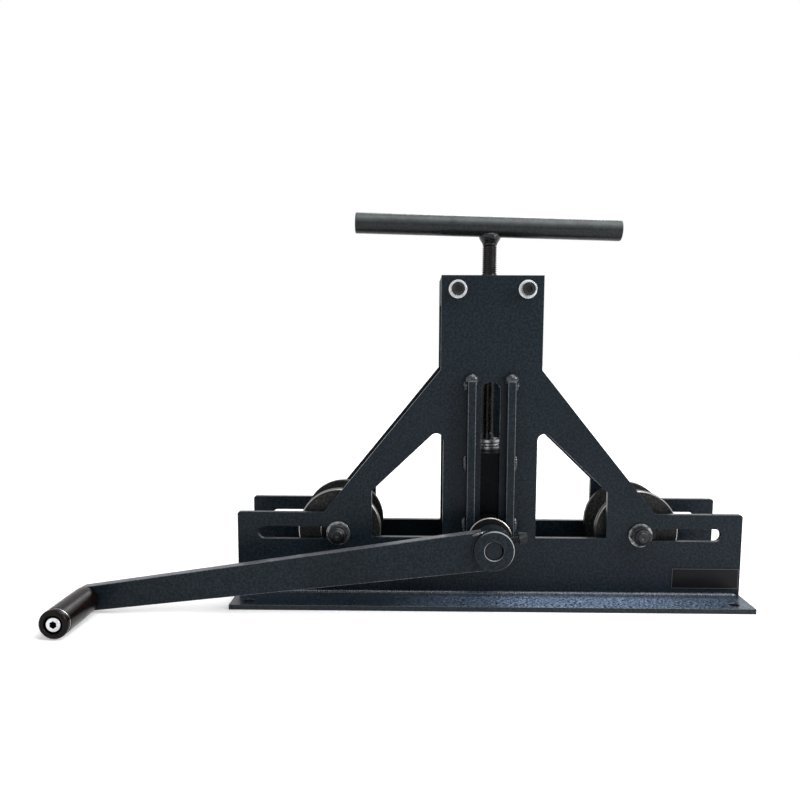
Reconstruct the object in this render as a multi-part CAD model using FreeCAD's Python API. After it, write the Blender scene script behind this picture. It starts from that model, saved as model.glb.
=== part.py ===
"""Manual ring roller: two slotted side plates on a foot plate, a pair of grooved outer rollers
that slide along the wings, and a cranked drive roller that a tee-handled screw presses down.

Row frame: +X to the operator's right, +Y away from the crank, +Z up.
Origin: centre of the four mounting holes, on the underside of the base plate.
All sizes are in millimetres.
"""
import FreeCAD, Part
import math
import os

V = FreeCAD.Vector
X_AXIS, Y_AXIS, Z_AXIS = V(1, 0, 0), V(0, 1, 0), V(0, 0, 1)

# Side plates and base
PLATE_LENGTH = 508.0
PLATE_T = 6.0
PLATE_GAP = 72.0
BASE_OVERHANG = 1.0
BASE_T = 5.0
FOOT_WIDTH = 40.0
WELD_LEG = 3.0
MOUNT_HOLE_D = 10.0
MOUNT_EDGE_X = 17.0
MOUNT_EDGE_Y = 12.0

# Side plate outline, heights above the underside of the base
WING_TOP_Z = 88.0
WING_CORNER_R = 2.5
LEG_FOOT_HALF = 166.7
TOWER_HALF = 50.0
TOWER_FOOT_Z = 232.0
TOWER_TOP_Z = 324.0
WINDOW_SILL_Z = 63.0
COLUMN_HALF = 46.8
WINDOW_FOOT_HALF = 118.3
WINDOW_FOOT_TOP_Z = 110.2
WINDOW_SLOPE = 0.95
WINDOW_APEX_R = 7.0
WINDOW_CORNER_R = 1.5

# Outer rollers on their clamped axles
AXLE_Z = 67.0
AXLE_REST_X = 152.0
WING_END_WALL = 20.5
AXLE_SLOT_W = 13.0
AXLE_D = 12.0
AXLE_SLEEVE_D = 20.0
AXLE_WASHER_D = 24.0
AXLE_WASHER_T = 2.5
AXLE_NUT_AF = 18.0
AXLE_NUT_H = 10.0
AXLE_NUT_TURN_DEG = 10.0
AXLE_TIP = 1.5
AXLE_CENTRE_MARK = 4.0
SPACER_D = 36.0
ROLLER_GROOVE = 42.0
ROLLER_HUB_D = 50.0
ROLLER_SPIGOT_D = 40.0
DISC_D = 85.0
DISC_T = 8.0
DISC_CHAMFER = 1.5
BUSH_D = 26.0

# Drive shaft, slots and guide rails
SHAFT_REST_Z = 65.0
SCREW_PITCH = 2.0
SCREW_TURNS = 68
SHAFT_END_D = 18.0
SHAFT_SEAT_D = 20.0
SHAFT_CORE_D = 26.0
SHAFT_SLOT_W = 19.0
SHAFT_SLOT_TOP_Z = 220.3
RAIL_W = 8.0
RAIL_PROUD = 12.0
RAIL_GAP = 31.0
RAIL_FOOT_Z = 62.0
RAIL_TOP_Z = 221.4
BLOCK_H = 30.0

# Yoke that carries the drive shaft
CHEEK_W = 56.0
CHEEK_T = 12.0
BRIDGE_H = 16.0
BRIDGE_TOP_RISE = 83.0
BEARING_D = 42.0
BEARING_INNER_WALL = 3.0
BEARING_OUTER_WALL = 3.0
BALL_COUNT = 8
BALL_BANDS = 6
BALL_SIDES = 8
YOKE_SCREW_X = 19.0

# Drive roller
DRIVE_ROLLER_D = 60.0
FLUTE_COUNT = 32
FLUTE_DEPTH = 0.8
KEY_W = 8.0
KEY_H = 7.0
KEY_LENGTH = 32.0

# Press screw and tee handle
SCREW_D = 14.0
SCREW_SPIGOT_D = 12.0
THRUST_D = 28.0
THRUST_RACE_T = 3.5
THRUST_CAGE_T = 4.0
COLLAR_D = 26.0
COLLAR_H = 12.0
SPIGOT_TAIL = 3.0
TEE_Z = 375.8
TEE_D = 21.0
TEE_LENGTH = 270.0
TEE_OFFSET_X = -2.0
TEE_TILT_DEG = 1.5
TEE_END_CHAMFER = 0.8

# Nut block at the top of the tower
NUT_BLOCK_H = 26.0
NUT_BLOCK_DROP = 0.5
BUSH_BORE_D = 24.0
LIP_H = 4.5
LIP_FOOT_D = 17.5
LIP_TOP_D = 15.4
BLOCK_SCREW_X = 34.0
BLOCK_SCREW_Z = 310.5
BLOCK_SCREW_L = 26.0
BLOCK_WASHER_D = 18.0
BLOCK_WASHER_T = 1.6

# Crank
SHAFT_WASHER_D = 44.5
SHAFT_WASHER_T = 4.0
CRANK_NECK_D = 30.0
CRANK_NECK_L = 14.4
CRANK_HUB_D = 38.0
CRANK_HUB_L = 28.0
SHAFT_FLAT_DEPTH = 1.5
SHAFT_FRONT_INSET = 2.0
ARM_T = 10.0
ARM_BACK_INSET = 13.2
ARM_ROOT_H = 38.5
ARM_TIP_R = 12.0
CRANK_RADIUS = 391.0
CRANK_REST_DEG = 7.5
GRIP_D = 26.5
GRIP_L = 67.0
GRIP_GAP = 1.0
GRIP_TUBE_D = 12.0
GRIP_RECESS_D = 17.0
GRIP_RECESS = 9.0
GRIP_RING_D = 24.2
GRIP_RING_W = 1.6
GRIP_RING_INSET = 6.0
REAR_COLLAR_D = 34.0
REAR_COLLAR_L = 14.0

# M8 and M6 socket cap screws, and small nuts
M8_D = 8.0
M8_HEAD_D = 13.0
M8_HEAD_H = 8.0
M8_SOCKET_AF = 6.0
M8_NUT_AF = 13.0
M8_NUT_H = 8.0
NUT_HEX_SHARE = 0.68
NUT_COLLAR_SHARE = 0.87
M6_D = 6.0
M6_HEAD_D = 10.0
M6_HEAD_H = 6.0
M6_SOCKET_AF = 5.0
M6_LENGTH = 24.0
SET_SCREW_AF = 3.0
SET_SCREW_SOCKET = 3.0
SET_SCREW_INSET = 0.5

# Clearances
RUNNING = 0.05
SIDE = 0.5
SLIDE = 0.2
BOLT_HOLE = 0.2

# Derived places
PLATE_IN = PLATE_GAP / 2
PLATE_OUT = PLATE_IN + PLATE_T
BASE_LENGTH = PLATE_LENGTH + 2 * BASE_OVERHANG
AXLE_TRAVEL = PLATE_LENGTH / 2 - WING_END_WALL - AXLE_SLOT_W / 2 - AXLE_REST_X
BASE_HALF_Y = PLATE_OUT + FOOT_WIDTH
SCREW_TRAVEL = SCREW_PITCH * SCREW_TURNS
RAIL_IN = RAIL_GAP / 2
RAIL_FACE = PLATE_OUT + RAIL_PROUD
YOKE_OUT = PLATE_IN - SIDE
YOKE_IN = YOKE_OUT - CHEEK_T
BRIDGE_TOP_Z = SHAFT_REST_Z + BRIDGE_TOP_RISE
BRIDGE_FOOT_Z = BRIDGE_TOP_Z - BRIDGE_H
CAGE_Z = BRIDGE_TOP_Z + THRUST_RACE_T
UPPER_RACE_Z = CAGE_Z + THRUST_CAGE_T
SCREW_SHOULDER_Z = UPPER_RACE_Z + THRUST_RACE_T
WASHER_IN = RAIL_FACE + SLIDE
WASHER_OUT = WASHER_IN + SHAFT_WASHER_T
NECK_OUT = WASHER_OUT + CRANK_NECK_L
HUB_OUT = NECK_OUT + CRANK_HUB_L
ARM_IN = NECK_OUT + ARM_BACK_INSET
ARM_OUT = ARM_IN + ARM_T
GRIP_IN = ARM_OUT + GRIP_GAP
GRIP_OUT = GRIP_IN + GRIP_L
ROLLER_HALF = ROLLER_GROOVE / 2 + DISC_T
NUT_BLOCK_TOP_Z = TOWER_TOP_Z - NUT_BLOCK_DROP
NUT_BLOCK_FOOT_Z = NUT_BLOCK_TOP_Z - NUT_BLOCK_H


def box(x0, x1, y0, y1, z0, z1):
    return Part.makeBox(x1 - x0, y1 - y0, z1 - z0, V(x0, y0, z0))


def rod(diameter, start, axis, length):
    return Part.makeCylinder(diameter / 2, length, start, axis)


def rod_y(diameter, x, z, y0, y1):
    return rod(diameter, V(x, y0, z), Y_AXIS, y1 - y0)


def rod_z(diameter, z0, z1):
    return rod(diameter, V(0, 0, z0), Z_AXIS, z1 - z0)


def ring_y(outer_d, bore_d, x, z, y0, y1):
    return rod_y(outer_d, x, z, y0, y1).cut(rod_y(bore_d, x, z, y0 - 1, y1 + 1))


def ring_z(outer_d, bore_d, z0, z1):
    return rod_z(outer_d, z0, z1).cut(rod_z(bore_d, z0 - 1, z1 + 1))


def turned_y(profile, x, z):
    """A solid turned about the line parallel to Y through x, z; the profile is (radius, y) points."""
    points = [V(r, y, 0) for r, y in profile]
    face = Part.Face(Part.makePolygon(points + points[:1]))
    solid = face.revolve(V(0, 0, 0), Y_AXIS, 360)
    solid.translate(V(x, 0, z))
    return solid


def plate_xz(points, y0, y1):
    """A flat piece cut to an outline of (x, z) points, between two y places."""
    corners = [V(x, y0, z) for x, z in points]
    return Part.Face(Part.makePolygon(corners + corners[:1])).extrude(V(0, y1 - y0, 0))


def slot_xz(width, ends, y0, y1):
    """A round-ended slot through Y, between the centres of its two round ends (x, z)."""
    (xa, za), (xb, zb) = ends
    along = V(xb - xa, 0, zb - za)
    side = along.cross(Y_AXIS).normalize() * (width / 2)
    a, b = V(xa, y0, za), V(xb, y0, zb)
    outward = V(along).normalize() * (width / 2)
    edges = [
        Part.LineSegment(a + side, b + side).toShape(),
        Part.Arc(b + side, b + outward, b - side).toShape(),
        Part.LineSegment(b - side, a - side).toShape(),
        Part.Arc(a - side, a - outward, a + side).toShape(),
    ]
    return Part.Face(Part.Wire(edges)).extrude(V(0, y1 - y0, 0))


def hexagon(across_flats, start, axis, length, first_deg=0.0):
    """A hexagonal prism from start along axis, for nuts and for sockets."""
    corner_r = across_flats / math.sqrt(3)
    corners = [V(corner_r * math.cos(math.radians(first_deg + 60 * i)),
                 corner_r * math.sin(math.radians(first_deg + 60 * i)), 0) for i in range(6)]
    prism = Part.Face(Part.makePolygon(corners + corners[:1])).extrude(V(0, 0, length))
    prism.Placement = FreeCAD.Placement(start, FreeCAD.Rotation(Z_AXIS, axis))
    return prism


def chamfered_end(shape, axis, size, towards):
    """Chamfers the round edge of a shape that lies furthest along the given direction."""
    far = max(v.Point.dot(towards) for v in shape.Vertexes)
    edges = [e for e in shape.Edges
             if isinstance(e.Curve, Part.Circle) and abs(e.CenterOfMass.dot(towards) - far) < 1e-4
             and abs(abs(e.Curve.Axis.dot(axis)) - 1) < 1e-6]
    widest = max(e.Curve.Radius for e in edges)
    return shape.makeChamfer(size, [e for e in edges if e.Curve.Radius == widest])


def nut(across_flats, bore_d, height, start, axis, turn_deg=0.0):
    """A hexagon nut with its two faces turned down to a cone at the corners."""
    cone_d = across_flats * 2 / math.sqrt(3)
    blank = rod(cone_d, start, axis, height)
    for towards in (axis, axis * -1):
        blank = chamfered_end(blank, axis, across_flats * 0.06, towards)
    body = hexagon(across_flats, start, axis, height, turn_deg).common(blank)
    return body.cut(rod(bore_d, start - axis, axis, height + 2))


def lock_nut(across_flats, bore_d, height, start, axis, turn_deg=0.0):
    """A self-locking nut: a hexagon and, over its insert, a slimmer round collar."""
    hex_h = height * NUT_HEX_SHARE
    collar_d = across_flats * NUT_COLLAR_SHARE
    collar = rod(collar_d, start + axis * (hex_h / 2), axis, height - hex_h / 2)
    collar = chamfered_end(collar, axis, across_flats * 0.06, axis)
    body = nut(across_flats, bore_d, hex_h, start, axis, turn_deg)
    return body.fuse(collar.cut(rod(bore_d, start, axis, height + 1))).removeSplitter()


def cap_screw(shank_d, head_d, head_h, socket_af, length, seat, axis):
    """A socket cap screw whose head stands on seat and whose shank runs along axis."""
    head = rod(head_d, seat - axis * head_h, axis, head_h)
    head = chamfered_end(head, axis, head_h * 0.08, axis * -1)
    socket = hexagon(socket_af, seat - axis * (head_h + 1), axis, head_h * 0.55 + 1)
    return head.cut(socket).fuse(rod(shank_d, seat, axis, length)).removeSplitter()


def mirrored_y(shape):
    return shape.mirror(V(0, 0, 0), Y_AXIS)


def with_rear_copy(*shapes):
    """The given pieces and their copies mirrored to the rear, as separate solids in one node."""
    return Part.makeCompound(list(shapes) + [mirrored_y(s) for s in shapes])


def at_crank(shape):
    """Turns a piece drawn with the crank pointing along -X down to the crank's rest angle."""
    turned = shape.copy()
    turned.rotate(V(0, 0, SHAFT_REST_Z), Y_AXIS, -CRANK_REST_DEG)
    return turned


def side_plate():
    """The front side plate: wings, legs, column and tower from one piece, with slots and windows."""
    half = [(PLATE_LENGTH / 2, BASE_T), (PLATE_LENGTH / 2, WING_TOP_Z), (LEG_FOOT_HALF, WING_TOP_Z),
            (TOWER_HALF, TOWER_FOOT_Z), (TOWER_HALF, TOWER_TOP_Z)]
    outline = half + [(-x, z) for x, z in reversed(half)]
    plate = plate_xz(outline, -PLATE_OUT, -PLATE_IN)
    wing_tops = [e for e in plate.Edges if abs(abs(e.CenterOfMass.x) - PLATE_LENGTH / 2) < 1e-4
                 and abs(e.CenterOfMass.z - WING_TOP_Z) < 1e-4]
    plate = plate.makeFillet(WING_CORNER_R, wing_tops)

    apex_z = WINDOW_FOOT_TOP_Z + WINDOW_SLOPE * (WINDOW_FOOT_HALF - COLUMN_HALF)
    through = (-PLATE_OUT - 1, -PLATE_IN + 1)
    window = plate_xz([(COLUMN_HALF, WINDOW_SILL_Z), (WINDOW_FOOT_HALF, WINDOW_SILL_Z),
                       (WINDOW_FOOT_HALF, WINDOW_FOOT_TOP_Z), (COLUMN_HALF, apex_z)], *through)
    upright = [e for e in window.Edges if abs(e.tangentAt(e.FirstParameter).dot(Y_AXIS)) > 0.999]
    apex = [e for e in upright if e.CenterOfMass.z > apex_z - 1]
    window = window.makeFillet(WINDOW_CORNER_R, [e for e in upright if e not in apex])
    upright = [e for e in window.Edges if abs(e.tangentAt(e.FirstParameter).dot(Y_AXIS)) > 0.999]
    apex = [e for e in upright if e.CenterOfMass.z > apex_z - 1]
    window = window.makeFillet(WINDOW_APEX_R, apex)

    axle_slot = slot_xz(AXLE_SLOT_W, [(AXLE_REST_X, AXLE_Z), (AXLE_REST_X + AXLE_TRAVEL, AXLE_Z)],
                        *through)
    shaft_slot = slot_xz(SHAFT_SLOT_W, [(0, SHAFT_REST_Z - SIDE),
                                        (0, SHAFT_SLOT_TOP_Z - SHAFT_SLOT_W / 2)], *through)
    for cutter in (window, axle_slot):
        plate = plate.cut(cutter).cut(cutter.mirror(V(0, 0, 0), X_AXIS))
    plate = plate.cut(shaft_slot)
    for x in (-BLOCK_SCREW_X, BLOCK_SCREW_X):
        plate = plate.cut(rod_y(M8_D + BOLT_HOLE, x, BLOCK_SCREW_Z, *through))
    return plate


def base_plate():
    """The foot plate under both side plates, with a mounting hole near each corner."""
    plate = box(-BASE_LENGTH / 2, BASE_LENGTH / 2, -BASE_HALF_Y, BASE_HALF_Y, 0, BASE_T)
    for x in (-1, 1):
        for y in (-1, 1):
            centre = V(x * (BASE_LENGTH / 2 - MOUNT_EDGE_X), y * (BASE_HALF_Y - MOUNT_EDGE_Y), -1)
            plate = plate.cut(rod(MOUNT_HOLE_D, centre, Z_AXIS, BASE_T + 2))
    return plate


def base_welds():
    """The fillet weld along the foot of each side plate, inside and outside."""
    welds = []
    for face, leg in ((PLATE_OUT, WELD_LEG), (PLATE_IN, -WELD_LEG)):
        points = [V(-PLATE_LENGTH / 2, -face, BASE_T), V(-PLATE_LENGTH / 2, -face - leg, BASE_T),
                  V(-PLATE_LENGTH / 2, -face, BASE_T + WELD_LEG)]
        welds.append(Part.Face(Part.makePolygon(points + points[:1])).extrude(V(PLATE_LENGTH, 0, 0)))
    return with_rear_copy(*welds)


def guide_rails():
    """The two bars welded beside the front plate's shaft slot."""
    right = box(RAIL_IN, RAIL_IN + RAIL_W, -RAIL_FACE, -PLATE_OUT, RAIL_FOOT_Z, RAIL_TOP_Z)
    return Part.makeCompound([right, right.mirror(V(0, 0, 0), X_AXIS)])


def nut_block():
    """The block that ties the tower's two plates and holds the threaded bush."""
    block = box(-TOWER_HALF, TOWER_HALF, -PLATE_IN, PLATE_IN, NUT_BLOCK_FOOT_Z, NUT_BLOCK_TOP_Z)
    block = block.cut(rod_z(BUSH_BORE_D, NUT_BLOCK_FOOT_Z - 1, NUT_BLOCK_TOP_Z + 1))
    depth = BLOCK_SCREW_L - PLATE_T - BLOCK_WASHER_T + 2
    for x in (-BLOCK_SCREW_X, BLOCK_SCREW_X):
        for y, sign in ((-PLATE_IN, 1), (PLATE_IN, -1)):
            block = block.cut(rod(M8_D + BOLT_HOLE, V(x, y - sign, BLOCK_SCREW_Z), Y_AXIS * sign,
                                  depth + 1))
    return block


def thread_bush():
    """The threaded bush for the press screw, with a tapered lip above the block."""
    bush = rod_z(BUSH_BORE_D, NUT_BLOCK_FOOT_Z, NUT_BLOCK_TOP_Z)
    lip = Part.makeCone(LIP_FOOT_D / 2, LIP_TOP_D / 2, LIP_H, V(0, 0, NUT_BLOCK_TOP_Z), Z_AXIS)
    bore = rod_z(SCREW_D + 2 * RUNNING, NUT_BLOCK_FOOT_Z - 1, NUT_BLOCK_TOP_Z + LIP_H + 1)
    return bush.fuse(lip).removeSplitter().cut(bore)


def block_fasteners():
    """The four cap screws and four washers that hold the nut block."""
    seat_y = -PLATE_OUT - BLOCK_WASHER_T
    screws, washers = [], []
    for x in (-BLOCK_SCREW_X, BLOCK_SCREW_X):
        screws.append(cap_screw(M8_D, M8_HEAD_D, M8_HEAD_H, M8_SOCKET_AF, BLOCK_SCREW_L,
                                V(x, seat_y, BLOCK_SCREW_Z), Y_AXIS))
        washers.append(ring_y(BLOCK_WASHER_D, M8_D + 2 * BOLT_HOLE, x, BLOCK_SCREW_Z, seat_y, -PLATE_OUT))
    return with_rear_copy(*screws), with_rear_copy(*washers)


def yoke_bridge():
    """The cross bar of the yoke, bored for the screw's spigot and for the cheek screws."""
    bridge = box(-CHEEK_W / 2, CHEEK_W / 2, -YOKE_OUT, YOKE_OUT, BRIDGE_FOOT_Z, BRIDGE_TOP_Z)
    bridge = bridge.cut(rod_z(SCREW_SPIGOT_D + 2 * RUNNING, BRIDGE_FOOT_Z - 1, BRIDGE_TOP_Z + 1))
    for x, y in yoke_screw_places():
        bridge = bridge.cut(rod(M6_D + BOLT_HOLE, V(x, y, BRIDGE_FOOT_Z - 1), Z_AXIS, BRIDGE_H + 2))
        bridge = bridge.cut(rod(M6_HEAD_D + 2 * BOLT_HOLE, V(x, y, BRIDGE_TOP_Z - M6_HEAD_H), Z_AXIS,
                                M6_HEAD_H + 1))
    return bridge


def yoke_screw_places():
    middle = (YOKE_IN + YOKE_OUT) / 2
    return [(x, y) for x in (-YOKE_SCREW_X, YOKE_SCREW_X) for y in (-middle, middle)]


def yoke_screws():
    """The four cap screws, sunk in the bridge, that hold the cheeks."""
    return Part.makeCompound([
        cap_screw(M6_D, M6_HEAD_D, M6_HEAD_H, M6_SOCKET_AF, M6_LENGTH,
                  V(x, y, BRIDGE_TOP_Z - M6_HEAD_H), Z_AXIS * -1) for x, y in yoke_screw_places()])


def front_cheek():
    """The front cheek: a bar with a round foot, bored for the shaft bearing."""
    bar = box(-CHEEK_W / 2, CHEEK_W / 2, -YOKE_OUT, -YOKE_IN, SHAFT_REST_Z, BRIDGE_FOOT_Z)
    cheek = bar.fuse(rod_y(CHEEK_W, 0, SHAFT_REST_Z, -YOKE_OUT, -YOKE_IN)).removeSplitter()
    cheek = cheek.cut(rod_y(BEARING_D, 0, SHAFT_REST_Z, -YOKE_OUT - 1, -YOKE_IN + 1))
    tap_depth = M6_LENGTH + M6_HEAD_H - BRIDGE_H + 2
    for x, y in yoke_screw_places():
        if y < 0:
            cheek = cheek.cut(rod(M6_D + BOLT_HOLE, V(x, y, BRIDGE_FOOT_Z + 1), Z_AXIS * -1, tap_depth))
    return cheek


def plain_ball(radius, centre):
    """A bearing ball with few flat faces, lofted through rings of corners on the true ball."""
    rings = []
    for i in range(1, BALL_BANDS):
        tilt = math.pi * i / BALL_BANDS
        r, y = radius * math.sin(tilt), -radius * math.cos(tilt)
        turns = [2 * math.pi * k / BALL_SIDES for k in range(BALL_SIDES)]
        corners = [centre + V(r * math.cos(a), y, r * math.sin(a)) for a in turns]
        rings.append(Part.makePolygon(corners + corners[:1]))
    return Part.makeLoft(rings, True, True)


def shaft_bearings():
    """Outer rings, balls and inner rings of the two ball bearings in the cheeks."""
    race_out_r = BEARING_D / 2 - BEARING_OUTER_WALL
    race_in_r = SHAFT_SEAT_D / 2 + BEARING_INNER_WALL
    ball_r = (race_out_r - race_in_r) / 2 - RUNNING
    pitch_r = (race_out_r + race_in_r) / 2
    middle = -(YOKE_IN + YOKE_OUT) / 2
    outer = ring_y(BEARING_D, 2 * race_out_r, 0, SHAFT_REST_Z, -YOKE_OUT, -YOKE_IN)
    inner = ring_y(2 * race_in_r, SHAFT_SEAT_D, 0, SHAFT_REST_Z, -YOKE_OUT, -YOKE_IN)
    balls = []
    for i in range(BALL_COUNT):
        angle = 2 * math.pi * i / BALL_COUNT
        x, z = pitch_r * math.cos(angle), SHAFT_REST_Z + pitch_r * math.sin(angle)
        balls.append(plain_ball(ball_r, V(x, middle, z)))
    return with_rear_copy(outer), with_rear_copy(*balls), with_rear_copy(inner)


def guide_block():
    """The front block that slides between the rails and carries the shaft's end."""
    width = RAIL_GAP - 2 * SLIDE
    half_h = BLOCK_H / 2
    block = box(-width / 2, width / 2, -RAIL_FACE + SLIDE, -PLATE_OUT - SLIDE,
                SHAFT_REST_Z - half_h, SHAFT_REST_Z + half_h)
    return block.cut(rod_y(SHAFT_END_D + 2 * RUNNING, 0, SHAFT_REST_Z, -RAIL_FACE, -PLATE_OUT))


def drive_shaft():
    """The stepped shaft: a core for the roller, bearing seats, and slimmer ends through the slots."""
    rear_end = WASHER_OUT + REAR_COLLAR_L
    front_end = HUB_OUT - SHAFT_FRONT_INSET
    core, seat, end = SHAFT_CORE_D / 2, SHAFT_SEAT_D / 2, SHAFT_END_D / 2
    chamfer = 1.0
    shaft = turned_y([(0, -front_end), (end - chamfer, -front_end), (end, -front_end + chamfer),
                      (end, -YOKE_OUT), (seat, -YOKE_OUT), (seat, -YOKE_IN), (core, -YOKE_IN),
                      (core, YOKE_IN), (seat, YOKE_IN), (seat, YOKE_OUT), (end, YOKE_OUT),
                      (end, rear_end - chamfer), (end - chamfer, rear_end), (0, rear_end)],
                     0, SHAFT_REST_Z)
    flat_x = end - SHAFT_FLAT_DEPTH
    flat = box(flat_x, end + 1, -HUB_OUT - 1, -WASHER_OUT, SHAFT_REST_Z - end, SHAFT_REST_Z + end)
    rear_flat = box(flat_x, end + 1, WASHER_OUT, rear_end + 1, SHAFT_REST_Z - end, SHAFT_REST_Z + end)
    keyway = slot_for_key(KEY_LENGTH)
    return shaft.cut(at_crank(flat)).cut(at_crank(rear_flat)).cut(keyway)


def slot_for_key(length):
    """The space of the parallel key, half in the shaft and half in the roller."""
    middle_z = SHAFT_REST_Z + SHAFT_CORE_D / 2
    return box(-KEY_W / 2, KEY_W / 2, -length / 2, length / 2, middle_z - KEY_H / 2, middle_z + KEY_H / 2)


def drive_roller():
    """The fluted roller that grips the stock, keyed to the shaft."""
    half_w = YOKE_IN - SIDE
    radius = DRIVE_ROLLER_D / 2
    roller = ring_y(DRIVE_ROLLER_D, SHAFT_CORE_D, 0, SHAFT_REST_Z, -half_w, half_w)
    flute = hexagon(2 * FLUTE_DEPTH, V(0, -half_w - 1, SHAFT_REST_Z + radius), Y_AXIS, 2 * half_w + 2)
    flutes = []
    for i in range(FLUTE_COUNT):
        copy = flute.copy()
        copy.rotate(V(0, 0, SHAFT_REST_Z), Y_AXIS, 360 * i / FLUTE_COUNT)
        flutes.append(copy)
    return roller.cut(Part.makeCompound(flutes)).cut(slot_for_key(2 * half_w + 2))


def press_screw():
    """The screw: threaded length under the tee bar, shoulder on the thrust race, spigot below."""
    tail_z = BRIDGE_FOOT_Z - SLIDE - COLLAR_H - SPIGOT_TAIL
    screw = rod_z(SCREW_D, SCREW_SHOULDER_Z, TEE_Z)
    spigot = chamfered_end(rod_z(SCREW_SPIGOT_D, tail_z, SCREW_SHOULDER_Z), Z_AXIS, 1.0, Z_AXIS * -1)
    return screw.fuse(spigot).removeSplitter().cut(tee_bar())


def tee_bar():
    """The round tee handle, a little out of level as it is welded."""
    bar = rod(TEE_D, V(TEE_OFFSET_X - TEE_LENGTH / 2, 0, TEE_Z), X_AXIS, TEE_LENGTH)
    for towards in (X_AXIS, X_AXIS * -1):
        bar = chamfered_end(bar, X_AXIS, TEE_END_CHAMFER, towards)
    bar.rotate(V(0, 0, TEE_Z), Y_AXIS, TEE_TILT_DEG)
    return bar


def set_screw(seat, length):
    """A headless screw from its seat outwards along +X, with a socket in its outer end."""
    socket = hexagon(SET_SCREW_AF, seat + X_AXIS * (length - SET_SCREW_SOCKET), X_AXIS,
                     SET_SCREW_SOCKET + 1)
    return rod(M6_D, seat, X_AXIS, length).cut(socket)


def lock_collar():
    """The collar under the bridge that lifts the yoke with the screw, and its set screw."""
    top = BRIDGE_FOOT_Z - SLIDE
    collar = ring_z(COLLAR_D, SCREW_SPIGOT_D, top - COLLAR_H, top)
    centre = V(0, 0, top - COLLAR_H / 2)
    collar = collar.cut(rod(M6_D + BOLT_HOLE, centre, X_AXIS, COLLAR_D))
    length = (COLLAR_D - SCREW_SPIGOT_D) / 2 - SET_SCREW_INSET
    return collar, set_screw(centre + X_AXIS * (SCREW_SPIGOT_D / 2), length)


def rear_collar():
    """The collar that keeps the rear end of the shaft, and its set screw."""
    collar = ring_y(REAR_COLLAR_D, SHAFT_END_D, 0, SHAFT_REST_Z, WASHER_OUT, WASHER_OUT + REAR_COLLAR_L)
    centre = V(0, WASHER_OUT + REAR_COLLAR_L / 2, SHAFT_REST_Z)
    collar = collar.cut(rod(M6_D + BOLT_HOLE, centre, X_AXIS, REAR_COLLAR_D))
    flat_x = SHAFT_END_D / 2 - SHAFT_FLAT_DEPTH
    screw = set_screw(centre + X_AXIS * flat_x, REAR_COLLAR_D / 2 - flat_x - SET_SCREW_INSET)
    return at_crank(collar), at_crank(screw)


def crank_hub():
    """The crank's stepped hub: a neck for the clamping screw and a boss for the arm."""
    bore, neck, boss = SHAFT_END_D / 2, CRANK_NECK_D / 2, CRANK_HUB_D / 2
    edge = 0.8
    hub = turned_y([(bore, -WASHER_OUT), (neck, -WASHER_OUT), (neck, -NECK_OUT), (boss, -NECK_OUT),
                    (boss, -HUB_OUT + edge), (boss - edge, -HUB_OUT), (bore, -HUB_OUT)], 0, SHAFT_REST_Z)
    hole = rod(M8_D + BOLT_HOLE, V(0, set_screw_y(), SHAFT_REST_Z), X_AXIS, neck + 1)
    return at_crank(hub.cut(hole))


def set_screw_y():
    return -(WASHER_OUT + CRANK_NECK_L / 2)


def crank_set_screw():
    """The cap screw that bears on the shaft's flat and holds the crank."""
    flat_x = SHAFT_END_D / 2 - SHAFT_FLAT_DEPTH
    length = 20.0
    return at_crank(cap_screw(M8_D, M8_HEAD_D, M8_HEAD_H, M8_SOCKET_AF, length,
                              V(flat_x + length, set_screw_y(), SHAFT_REST_Z), X_AXIS * -1))


def crank_arm():
    """The tapered flat arm, welded to the hub at one end and round at the grip's end."""
    z = SHAFT_REST_Z
    tip = V(-CRANK_RADIUS, -ARM_OUT, z)
    slope = math.asin((ARM_ROOT_H / 2 - ARM_TIP_R) / CRANK_RADIUS)
    touch = V(-math.sin(slope) * ARM_TIP_R, 0, math.cos(slope) * ARM_TIP_R)
    flip = V(touch.x, 0, -touch.z)
    root_top, root_foot = V(0, -ARM_OUT, z + ARM_ROOT_H / 2), V(0, -ARM_OUT, z - ARM_ROOT_H / 2)
    edges = [
        Part.LineSegment(root_foot, root_top).toShape(),
        Part.LineSegment(root_top, tip + touch).toShape(),
        Part.Arc(tip + touch, tip - X_AXIS * ARM_TIP_R, tip + flip).toShape(),
        Part.LineSegment(tip + flip, root_foot).toShape(),
    ]
    arm = Part.Face(Part.Wire(edges)).extrude(Y_AXIS * ARM_T)
    arm = arm.cut(rod_y(CRANK_HUB_D, 0, z, -ARM_OUT - 1, -ARM_IN + 1))
    arm = arm.cut(box(-CRANK_HUB_D / 4, 1, -ARM_OUT - 1, -ARM_IN + 1, 0, 2 * z))
    hole = rod_y(M8_D + BOLT_HOLE, -CRANK_RADIUS, z, -ARM_OUT - 1, -ARM_IN + 1)
    return at_crank(arm.cut(hole))


def crank_grip():
    """The turning grip: a slim barrel with a groove near its end and a recess for the bolt's head."""
    r, bore = GRIP_D / 2, GRIP_TUBE_D / 2 + RUNNING
    ring_r, recess = GRIP_RING_D / 2, GRIP_RECESS_D / 2
    ring_0 = -GRIP_OUT + GRIP_RING_INSET
    ring_1 = ring_0 + GRIP_RING_W
    edge = 2.0
    grip = turned_y([(bore, -GRIP_IN), (r - edge, -GRIP_IN), (r, -GRIP_IN - edge), (r, ring_1),
                     (ring_r, ring_1), (ring_r, ring_0), (r, ring_0), (r, -GRIP_OUT + edge),
                     (r - edge, -GRIP_OUT), (recess, -GRIP_OUT), (recess, -GRIP_OUT + GRIP_RECESS),
                     (bore, -GRIP_OUT + GRIP_RECESS)], -CRANK_RADIUS, SHAFT_REST_Z)
    return at_crank(grip)


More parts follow.
